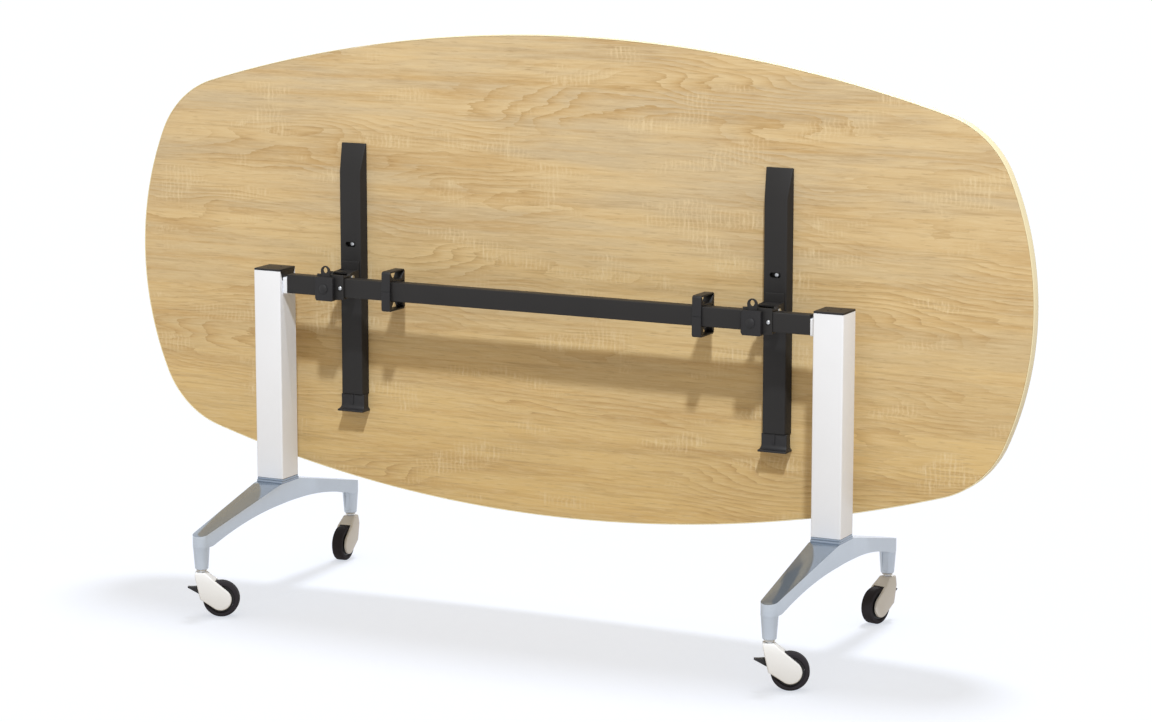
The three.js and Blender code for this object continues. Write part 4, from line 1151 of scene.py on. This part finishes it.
class TABLE_OT_clips(bpy.types.Operator):
    """Makes the two halves of each cable clip."""

    bl_idname = "table.make_clips"
    bl_label = "Cable clips"

    def execute(self, context):
        sizes = context.scene.table_beam_sizes
        for side, _ in ENDS:
            self.half(sizes, f"cable_clip_upper_{side}", 1)
            self.half(sizes, f"cable_clip_lower_{side}", -1)
        return {"FINISHED"}

    def half(self, sizes, node, way):
        """The upper or lower half of a clip: a grip on the beam, a cable way behind it and a window."""
        low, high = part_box(node)
        beam_low, beam_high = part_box("beam")
        centre = middle("beam").z
        seam = sizes.seat / 2
        tall = (high.z - centre) if way > 0 else (centre - low.z)
        corner, wall, web, slope = sizes.clip_corner, sizes.clip_wall, sizes.clip_web, sizes.clip_slope
        grip_front, grip_back = beam_low.y - sizes.seat, beam_high.y + sizes.seat
        grip_high = (beam_high.z - beam_low.z) / 2 + sizes.seat
        rear_front, rear_back = grip_back + wall, high.y - wall
        outline = [
            (low.y, seam),
            *arc((low.y + corner, tall - corner), corner, math.pi, QUARTER, steps=6),
            *arc((high.y - corner, tall - corner), corner, QUARTER, 0.0, steps=6),
            (high.y, seam), (rear_back, seam),
            (rear_back, grip_high - web), (rear_front, grip_high - web),
            (rear_front, seam), (grip_back, seam),
            (grip_back, grip_high), (grip_front, grip_high), (grip_front, seam),
        ]
        window = [
            (grip_front + slope, grip_high + web), (rear_back - slope, grip_high + web),
            (rear_back, tall - wall), (grip_front, tall - wall),
        ]
        loops = [[(y, centre + way * z) for y, z in loop] for loop in (outline, window)]
        name = node.replace("cable_clip", "clip")
        clip = plate(name, "black_moulding", loops, low.x, high.x, sizes.clip_edge, ACROSS)
        settled(clip, "base", "black_plastic", node)


# The base


class TABLE_OT_columns(bpy.types.Operator):
    """Makes the columns and their caps."""

    bl_idname = "table.make_columns"
    bl_label = "Columns"

    def execute(self, context):
        sizes = context.scene.table_base_sizes
        for side, sign in ENDS:
            self.column(sizes, side, sign)
            self.cap(sizes, side, sign)
        return {"FINISHED"}

    def notch(self, sizes, side, gap):
        """The outline of the notch in a column's inner wall, or of a tongue with a gap round it."""
        low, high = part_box(f"column_{side}")
        centre = middle(f"column_{side}")
        top_half = (high.y - low.y) / 2 - sizes.column_corner - gap
        floor_half = sizes.notch_floor / 2 - gap
        floor = high.z - sizes.notch_depth + gap
        over = high.z + sizes.seat
        return [(centre.y - floor_half, floor), (centre.y + floor_half, floor), (centre.y + top_half, high.z),
                (centre.y + top_half, over), (centre.y - top_half, over), (centre.y - top_half, high.z)]

    def column(self, sizes, side, sign):
        """A square column with a notch at the top of its inner wall."""
        node = f"column_{side}"
        low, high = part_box(node)
        outline = rounded_rectangle((low.x, low.y), (high.x, high.y), sizes.column_corner)
        column = plate(f"post_{side}", "white_powder_coat", [outline], low.z, high.z, sizes.column_edge, UP)
        face = inner_face(side, sign)
        ends = sorted((face + sign * sizes.column_wall, face - sign * sizes.column_wall))
        notch = self.notch(sizes, side, 0.0)
        carved(column, plate("notch", "white_powder_coat", [notch], *ends, 0.0, ACROSS))
        settled(column, "base", "white_paint", node)

    def cap(self, sizes, side, sign):
        """A cap with a tongue down the notch and two dimples."""
        node = f"column_cap_{side}"
        low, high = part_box(node)
        outline = rounded_rectangle((low.x, low.y), (high.x, high.y), sizes.column_corner)
        cap = plate(f"cap_{side}", "black_moulding", [outline], high.z - sizes.cap_thickness, high.z,
                    sizes.cap_edge, UP)
        face = inner_face(side, sign)
        ends = sorted((face, face + sign * (sizes.column_wall - sizes.seat)))
        tongue = self.notch(sizes, side, sizes.seat)
        fused(cap, plate("tongue", "black_moulding", [tongue], *ends, 0.0, ACROSS))
        centre, reach = middle(node), sizes.dimple_reach
        profile = rectangle((0.0, -sizes.dimple_depth), (sizes.dimple_radius, sizes.dimple_depth))
        for turn in (1, -1):
            place = (centre.x + turn * reach, centre.y + turn * reach, high.z)
            carved(cap, turned("dimple", "black_moulding", profile, place, "Z", steps=24))
        settled(cap, "base", "black_plastic", node)


class TABLE_OT_feet(bpy.types.Operator):
    """Makes the cast feet with polished upper faces, their darker colour partly painted dark reflection."""

    bl_idname = "table.make_feet"
    bl_label = "Feet"

    def execute(self, context):
        sizes = context.scene.table_base_sizes
        for side, _ in ENDS:
            self.foot(sizes, side)
        return {"FINISHED"}

    def foot(self, sizes, side):
        """Two arms with a post at each end, and two steps under the column."""
        node = f"foot_{side}"
        low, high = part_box(node)
        centre = middle(f"column_{side}")
        half = (high.x - low.x) / 2
        arm_top = high.z - sizes.spigot - 2 * sizes.step_height
        end_top = arm_top - sizes.foot_rise
        body = self.arms(sizes, f"foot_{side}_casting", centre, half, arm_top, end_top)
        for turn in (1, -1):
            fused(body, self.post(sizes, centre, end_top, low.z, turn))
        bevelled(body, sizes.cast_edge, segments=2, angle=50.0)
        self.polish(body)
        settled(body, "base", "cast_aluminium", node)
        for name, rise, out in (("lower", 0.0, sizes.step_out), ("upper", sizes.step_height, 0.0)):
            level = arm_top + rise
            outline = rounded_rectangle((centre.x - half, centre.y - half - out),
                                        (centre.x + half, centre.y + half + out), sizes.column_corner)
            # The steps take the polished finish too, its dark colour partly painted dark reflection.
            step = plate(f"foot_{side}_{name}_step", "polished_aluminium", [outline], level - sizes.seat,
                         level + sizes.step_height, sizes.cast_edge, UP)
            settled(step, "base", "cast_aluminium")

    def arms(self, sizes, name, centre, half, arm_top, end_top):
        """Both arms as one skin: a rectangle at each station along Y, as wide as the plan is there."""
        end_radius, reach = sizes.post_top / 2, sizes.foot_reach
        shoulder = half + sizes.step_out + sizes.fillet
        touch = touch_angle((half, shoulder), (0.0, reach), end_radius, 1)
        touch_x, touch_y = end_radius * math.cos(touch), reach + end_radius * math.sin(touch)
        arch_half = reach - end_radius + sizes.arch_run
        arch_foot = end_top - sizes.end_thickness
        arch_radius = (arch_half ** 2 + sizes.arch_rise ** 2) / (2 * sizes.arch_rise)
        arch_base = arch_foot + sizes.arch_rise - arch_radius

        def width(y):
            if y > touch_y:
                return math.sqrt(end_radius ** 2 - (y - reach) ** 2)
            return ramp(y, (shoulder, half), (touch_y, touch_x))

        def under(y):
            if y >= arch_half:
                return arch_foot
            return arch_base + math.sqrt(arch_radius ** 2 - y ** 2)

        rings = []
        for y in self.stations(reach, end_radius, touch):
            away = abs(y)
            top = ramp(away, (shoulder, arm_top), (reach + end_radius, end_top))
            section = rectangle((-width(away), under(away)), (width(away), top))
            rings.append([(centre.x + x, centre.y + y, z) for x, z in section])
        return bevelled(lofted(name, "satin_aluminium", rings), sizes.foot_edge, segments=3, angle=50.0)

    def stations(self, reach, end_radius, touch):
        """Places along Y from one end to the other: even along the arms and by angle round the ends."""
        straight = reach + end_radius * math.sin(touch)
        ahead = [straight * step / FOOT_ARM_STEPS for step in range(FOOT_ARM_STEPS + 1)]
        around = arc((0.0, reach), end_radius, touch, QUARTER, FOOT_END_STEPS)
        ahead += [y for _, y in around[1:-1]]
        ahead.append(reach + end_radius * LAST_STATION)
        return [-y for y in reversed(ahead[1:])] + ahead

    def post(self, sizes, centre, end_top, bottom, turn):
        """A tapered post with a groove on its inner side."""
        top_radius, low_radius = sizes.post_top / 2 - sizes.post_inset, sizes.post_bottom / 2
        chamfer = sizes.post_chamfer
        full = end_top - sizes.end_thickness
        head = full + sizes.post_overlap
        x, y = centre.x, centre.y + turn * sizes.foot_reach
        profile = [(0.0, bottom), (low_radius - chamfer, bottom), (low_radius, bottom + chamfer),
                   (top_radius, full), (top_radius, head), (0.0, head)]
        post = turned("post", "satin_aluminium", profile, (x, y, 0.0), "Z", steps=72)
        floor = top_radius - sizes.groove_depth
        half = sizes.groove_width / 2
        inner = sorted((y - turn * floor, y - turn * (floor + sizes.post_top)))
        outline = rounded_rectangle((x - half, bottom + sizes.groove_margin), (x + half, full),
                                    sizes.groove_corner)
        return carved(post, plate("groove", "satin_aluminium", [outline], *inner, 0.0, BACK))

    def polish(self, body):
        """Gives the upward faces the polished finish, whose darker colour is partly painted dark reflection.
        """
        body.data.materials.append(finish_named("polished_aluminium"))
        for face in body.data.polygons:
            if face.normal.z > POLISHED_RISE:
                face.material_index = 1


class TABLE_OT_casters(bpy.types.Operator):
    """Makes the four casters: stem, pale ring, fork, axle, tyre, hub and brake pedal."""

    bl_idname = "table.make_casters"
    bl_label = "Casters"

    def execute(self, context):
        sizes = context.scene.table_caster_sizes
        for place in CASTERS:
            swivel = PIVOTS[f"caster_swivel_{place}"]
            trail = PIVOTS[f"wheel_spin_{place}"] - swivel
            turn = Matrix.Rotation(math.atan2(trail.y, trail.x), 4, "Z")
            way = Matrix.Translation((swivel.x, swivel.y, 0.0)) @ turn
            pieces = (
                (self.tyre(sizes), "tyre", f"wheel_{place}", "tyre_rubber", f"caster_tyre_{place}"),
                (self.hub(sizes), "hub", f"wheel_{place}", "black_plastic", f"caster_hub_{place}"),
                (self.axle(sizes), "axle", f"swivel_{place}", "bright_steel", f"caster_axle_{place}"),
                (self.fork(sizes), "fork", f"swivel_{place}", "white_plastic", f"caster_fork_{place}"),
                (self.pedal(sizes), "pedal", f"brake_{place}", "black_plastic", f"brake_pedal_{place}"),
                (self.stem(sizes, place), "stem", "base", "bright_steel", f"caster_stem_{place}"),
                (self.ferrule(sizes), "ferrule", "base", "white_plastic"),
            )
            for piece, name, body, slot, *nodes in pieces:
                piece.name = f"{name}_{place}"
                piece.data.name = piece.name
                piece.data.transform(way)
                settled(piece, body, slot, *nodes)
        return {"FINISHED"}

    def half_slot(self, sizes):
        """Half the room for the wheel between the cheeks."""
        return sizes.tyre_width / 2 + sizes.cheek_gap

    def fork_top(self, sizes):
        """The height of the fork's head."""
        return 2 * sizes.wheel_radius + sizes.head_rise

    def on_axle(self, sizes, name, finish, profile, steps):
        """A profile turned about the wheel's axle."""
        return turned(name, finish, profile, (sizes.trail, 0.0, sizes.wheel_radius), "Y", steps)

    def tyre(self, sizes):
        """A tyre with round shoulders and a sloped lip on each side."""
        half, inner = sizes.tyre_width / 2, sizes.wheel_radius - sizes.tyre_depth
        shoulder = sizes.tyre_shoulder
        upper = arc((sizes.wheel_radius - shoulder, half - shoulder), shoulder, 0.0, QUARTER, steps=8)
        lip, flank = half - sizes.tyre_lip, inner + sizes.tyre_lip
        upper += [(flank, half), (inner, lip)]
        lower = mirrored(upper)
        return self.on_axle(sizes, "tyre", "rubber_tread", [*lower, *upper, lower[0]], steps=96)

    def hub(self, sizes):
        """A hub with a rim, a web and a boss."""
        rim = sizes.wheel_radius - sizes.tyre_depth - sizes.seat
        inner, edge = rim - sizes.hub_wall, sizes.hub_edge
        bore = sizes.axle_radius + sizes.seat
        rim_half = sizes.tyre_width / 2 - sizes.tyre_lip
        web = sizes.hub_web / 2
        boss = self.half_slot(sizes) - sizes.slide
        upper = [(rim, rim_half), (inner + edge, rim_half), (inner, rim_half - edge), (inner, web),
                 (sizes.hub_boss, web), (sizes.hub_boss, boss), (bore, boss)]
        lower = mirrored(upper)
        return self.on_axle(sizes, "hub", "black_moulding", [*lower, *upper, lower[0]], steps=72)

    def axle(self, sizes):
        """A chamfered axle, seated in both cheeks."""
        end, edge, radius = self.half_slot(sizes) + sizes.pin_seat, sizes.hub_edge, sizes.axle_radius
        lower = [(0.0, -end), (radius - edge, -end), (radius, -end + edge)]
        return self.on_axle(sizes, "axle", "zinc_steel", lower + mirrored(lower), steps=32)

    def fork(self, sizes):
        """A hooded fork: two cheeks round the wheel, a narrower head and an opening for the pedal."""
        wheel, top = sizes.wheel_radius, self.fork_top(sizes)
        slot_half = self.half_slot(sizes)
        half = slot_half + sizes.cheek
        axle, front = (sizes.trail, wheel), (sizes.head_front, top)
        heel = (sizes.trail - wheel - sizes.hood_gap - sizes.hood_wall, wheel)
        over = touch_angle(front, axle, sizes.end_radius, -1)
        under = touch_angle(heel, axle, sizes.end_radius, 1) - 2 * math.pi
        outline = [(-sizes.head_back, top), front, *arc(axle, sizes.end_radius, over, under, steps=40), heel,
                   (-sizes.head_back, top - sizes.nape)]
        fork = plate("fork", "warm_white_moulding", [outline], -half, half, sizes.fork_edge, BACK)
        self.taper(fork, top, half, sizes)
        slot = rectangle((0.0, -slot_half), (wheel + sizes.hood_gap, slot_half))
        pivot, room = wheel + sizes.pedal_rise, sizes.pedal_hub + sizes.pedal_room
        opening = rectangle((-sizes.pedal_reach, pivot - room), (sizes.pedal_room_back, pivot + room))
        side = sizes.pedal_width / 2 + sizes.slide
        return carved(fork, self.on_axle(sizes, "slot", "warm_white_moulding", slot, steps=96),
                      plate("opening", "warm_white_moulding", [opening], -side, side, 0.0, BACK))

    def taper(self, fork, top, half, sizes):
        """Narrows the fork's head from its shoulder up."""
        shoulder = top - sizes.shoulder_drop
        work = bmesh.new()
        work.from_mesh(fork.data)
        everything = [*work.verts, *work.edges, *work.faces]
        bmesh.ops.bisect_plane(work, geom=everything, plane_co=(0.0, 0.0, shoulder), plane_no=(0.0, 0.0, 1.0))
        for vertex in work.verts:
            vertex.co.y *= ramp(vertex.co.z, (shoulder, 1.0), (top, sizes.head_width / 2 / half))
        work.to_mesh(fork.data)
        work.free()

    def pedal(self, sizes):
        """A pointed pedal on a pin between the cheeks."""
        pivot = sizes.wheel_radius + sizes.pedal_rise
        reach, half = sizes.pedal_reach, sizes.pedal_width / 2
        tip = pivot + sizes.pedal_tip_rise
        crown = arc((0.0, pivot), sizes.pedal_hub, -QUARTER / 2, QUARTER, steps=10)
        outline = [*crown, (-sizes.pedal_bend, tip), (-reach, tip), (-reach, tip - sizes.pedal_tip),
                   (-sizes.pedal_belly, pivot - sizes.pedal_belly_drop),
                   (-sizes.pedal_heel, pivot - sizes.pedal_heel_drop)]
        pedal = plate("pedal", "black_moulding", [outline], -half, half, sizes.pedal_edge, BACK)
        end = self.half_slot(sizes) + sizes.pin_seat
        pin = rectangle((0.0, -end), (sizes.pedal_pin, end))
        return fused(pedal, turned("pin", "black_moulding", pin, (0.0, 0.0, pivot), "Y", steps=24))

    def stem(self, sizes, place):
        """A stem from the fork up into the post, with a neck between them."""
        low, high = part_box(f"caster_stem_{place}")
        foot = self.fork_top(sizes) + sizes.seat
        neck, swivel, radius = sizes.stem_collar, sizes.stem_swivel, sizes.stem_radius
        top = foot + sizes.neck_height
        profile = [(0.0, low.z), (swivel, low.z), (swivel, foot), (neck, foot), (neck, top), (radius, top),
                   (radius, high.z), (0.0, high.z)]
        return turned("stem", "zinc_steel", profile, (0.0, 0.0, 0.0), "Z", steps=40)

    def ferrule(self, sizes):
        """The pale ring between the post and the fork."""
        low, high = [self.fork_top(sizes) + rise for rise in (sizes.ferrule_low, sizes.ferrule_high)]
        outer, inner, edge = sizes.ferrule_radius, sizes.ferrule_inner, sizes.hub_edge
        profile = [(inner, low), (outer - edge, low), (outer, low + edge), (outer, high - edge),
                   (outer - edge, high), (inner, high), (inner, low)]
        return turned("ferrule", "warm_white_moulding", profile, (0.0, 0.0, 0.0), "Z", steps=48)


# Screws, placed by Geometry Nodes


def screw_tree(name, finish):
    """A tree that puts a screw of a given head radius on each point of a mesh."""
    tree = bpy.data.node_groups.new(name, "GeometryNodeTree")
    inputs = {"Geometry": "NodeSocketGeometry", "Screw": "NodeSocketObject", "Head radius": "NodeSocketFloat"}
    for label, kind in inputs.items():
        tree.interface.new_socket(label, in_out="INPUT", socket_type=kind)
    tree.interface.new_socket("Geometry", in_out="OUTPUT", socket_type="NodeSocketGeometry")
    given = tree.nodes.new("NodeGroupInput")
    result = tree.nodes.new("NodeGroupOutput")
    source = tree.nodes.new("GeometryNodeObjectInfo")
    place = tree.nodes.new("GeometryNodeInstanceOnPoints")
    whole = tree.nodes.new("GeometryNodeRealizeInstances")
    coat = tree.nodes.new("GeometryNodeSetMaterial")
    coat.inputs["Material"].default_value = finish_named(finish)
    links = (
        (given, "Screw", source, "Object"),
        (given, "Geometry", place, "Points"),
        (source, "Geometry", place, "Instance"),
        (given, "Head radius", place, "Scale"),
        (place, "Instances", whole, "Geometry"),
        (whole, "Geometry", coat, "Geometry"),
        (coat, "Geometry", result, "Geometry"),
    )
    for giver, output, taker, entry in links:
        tree.links.new(giver.outputs[output], taker.inputs[entry])
    return tree


def placed_screws(name, finish, screw, points, radius):
    """A plain mesh of screws at some points, facing -Y."""
    mesh = bpy.data.meshes.new(name)
    mesh.from_pydata(points, [], [])
    holder = object_from(name, mesh, finish)
    tree = screw_tree(f"{name}_tree", finish)
    modifier = holder.modifiers.new("screws", "NODES")
    modifier.node_group = tree
    sockets = {item.name: item.identifier for item in tree.interface.items_tree if item.in_out == "INPUT"}
    modifier[sockets["Screw"]] = screw
    modifier[sockets["Head radius"]] = radius
    return with_modifiers_applied(holder)


class TABLE_OT_screws(bpy.types.Operator):
    """Makes the screws in the arms and saddles."""

    bl_idname = "table.make_screws"
    bl_label = "Screws"

    def execute(self, context):
        scene = context.scene
        screw = self.screw()
        groups = (
            ("arm_screw", "table_top", scene.table_arm_sizes.screw_radius),
            ("saddle_screw", "base", scene.table_beam_sizes.screw_radius),
        )
        for group, body, radius in groups:
            nodes = [f"{group}_{side}" for side, _ in ENDS]
            points = [(middle(node).x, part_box(node)[0].y, middle(node).z) for node in nodes]
            screws = placed_screws(f"{group}s", "zinc_steel", screw, points, radius)
            settled(screws, body, "bright_steel", *nodes)
        discard(screw)
        return {"FINISHED"}

    def screw(self):
        """A screw head of radius 1 with a hexagon socket, its face at y 0."""
        dome = [(SCREW_FLAT + (1.0 - SCREW_FLAT) * math.sin(a), SCREW_DROP * (1.0 - math.cos(a)))
                for a in SCREW_ANGLES]
        profile = [(0.0, 0.0), (SCREW_FLAT, 0.0), *dome, (1.0, SCREW_HEIGHT), (0.0, SCREW_HEIGHT)]
        head = turned("screw", "zinc_steel", profile, (0.0, 0.0, 0.0), "Y", steps=36)
        hexagon = ring((0.0, 0.0), SOCKET_RADIUS, steps=6)
        return carved(head, plate("socket", "zinc_steel", [hexagon], -SOCKET_OVER, SOCKET_DEPTH, 0.0, BACK))


# The studio


class TABLE_OT_stage(bpy.types.Operator):
    """Makes the floor, the lights and the camera."""

    bl_idname = "table.make_stage"
    bl_label = "Stage"

    def execute(self, context):
        stage = context.scene.table_stage
        context.scene.view_settings.view_transform = "Standard"
        floor = self.floor(context, stage)
        self.world(context, stage)
        key = self.sun(context, "key_light", stage.key, *KEY_PLACE)
        key.data.color = stage.key_tint
        back = self.sun(context, "back_light", stage.back, *BACK_PLACE)
        rear = self.sun(context, "rear_light", stage.rear, *REAR_PLACE)
        self.linked(key, floor, "EXCLUDE")
        self.linked(rear, floor, "EXCLUDE")
        self.linked(back, floor, "INCLUDE")
        self.camera(context, stage)
        return {"FINISHED"}

    def floor(self, context, stage):
        """A plain floor, which is no part of the table."""
        work = bmesh.new()
        bmesh.ops.create_grid(work, x_segments=1, y_segments=1, size=FLOOR_HALF)
        mesh = bpy.data.meshes.new("floor")
        work.to_mesh(mesh)
        work.free()
        floor = bpy.data.objects.new("floor", mesh)
        context.scene.collection.objects.link(floor)
        mesh.materials.append(self.paper(stage))
        return floor

    def paper(self, stage):
        """Paper that keeps shadows: it glows to the camera and throws a little warm light on the table."""
        paper = Finish("floor_paper")
        glow = paper.mix(paper.seen(), stage.bounce, stage.glow)
        return paper.set(Base_Color=stage.paper, Roughness=0.9, Specular_IOR_Level=0.0,
                         Emission_Color=glow, Emission_Strength=1.0)

    def linked(self, lamp, piece, state):
        """Keeps a lamp's light off one piece, or on that piece alone, so that one lamp makes the shadow."""
        lit = bpy.data.collections.new(f"{lamp.name}_receivers")
        lit.objects.link(piece)
        lit.collection_objects[0].light_linking.link_state = state
        lamp.light_linking.receiver_collection = lit

    def world(self, context, stage):
        """Soft light all round, and white to the camera."""
        world = bpy.data.worlds.new("studio")
        context.scene.world = world
        world.use_nodes = True
        sky = Shading(world.node_tree)
        fill = [stage.ambient * share for share in stage.fill]
        sky.feed(sky.nodes["Background"].inputs["Color"], sky.mix(sky.seen(), fill, (1.0, 1.0, 1.0)))

    def sun(self, context, name, strength, azimuth, elevation, spread):
        """A soft sun from an azimuth, 0 in front of the table and 90 on its right."""
        light = bpy.data.lights.new(name, "SUN")
        light.energy = strength
        light.angle = math.radians(spread)
        lamp = bpy.data.objects.new(name, light)
        context.scene.collection.objects.link(lamp)
        across, up = math.radians(azimuth), math.radians(elevation)
        towards = Vector((math.sin(across) * math.cos(up), -math.cos(across) * math.cos(up), math.sin(up)))
        lamp.rotation_euler = towards.to_track_quat("Z", "Y").to_euler()
        return lamp

    def camera(self, context, stage):
        """The camera where the photograph was taken from."""
        lens = bpy.data.cameras.new("camera")
        lens.lens = stage.lens
        lens.sensor_width = SENSOR_WIDTH
        lens.clip_end = VIEW_LIMIT
        camera = bpy.data.objects.new("camera", lens)
        camera.location = stage.camera
        camera.rotation_euler = (stage.tilt, 0.0, stage.turn)
        context.scene.collection.objects.link(camera)
        context.scene.camera = camera


OPERATORS = (
    TABLE_OT_stage, TABLE_OT_top, TABLE_OT_arms, TABLE_OT_beam, TABLE_OT_hinges, TABLE_OT_latches,
    TABLE_OT_clips, TABLE_OT_columns, TABLE_OT_feet, TABLE_OT_casters, TABLE_OT_screws,
)


class TABLE_PT_panel(bpy.types.Panel):
    """Lists the table's sizes, finishes and makers."""

    bl_idname = "TABLE_PT_panel"
    bl_label = "Training table"
    bl_space_type = "VIEW_3D"
    bl_region_type = "UI"
    bl_category = "Table"

    def draw(self, context):
        layout = self.layout
        for maker in OPERATORS:
            layout.operator(maker.bl_idname, text=maker.bl_label)
        for name, group in GROUPS.items():
            box = layout.box()
            box.label(text=group.__doc__)
            for field in group.__annotations__:
                box.prop(getattr(context.scene, name), field)


def register():
    """Registers the classes and hangs the settings on the scene."""
    for group in GROUPS.values():
        bpy.utils.register_class(group)
    for name, group in GROUPS.items():
        setattr(bpy.types.Scene, name, PointerProperty(type=group))
    for kind in (*OPERATORS, TABLE_PT_panel):
        bpy.utils.register_class(kind)


def unregister():
    """Takes the settings and the classes away again."""
    for kind in reversed((*OPERATORS, TABLE_PT_panel)):
        bpy.utils.unregister_class(kind)
    for name in GROUPS:
        delattr(bpy.types.Scene, name)
    for group in reversed(GROUPS.values()):
        bpy.utils.unregister_class(group)


def main():
    """Makes every piece in order."""
    register()
    for maker in OPERATORS:
        family, name = maker.bl_idname.split(".")
        getattr(getattr(bpy.ops, family), name)()


if __name__ == "__main__":
    main()
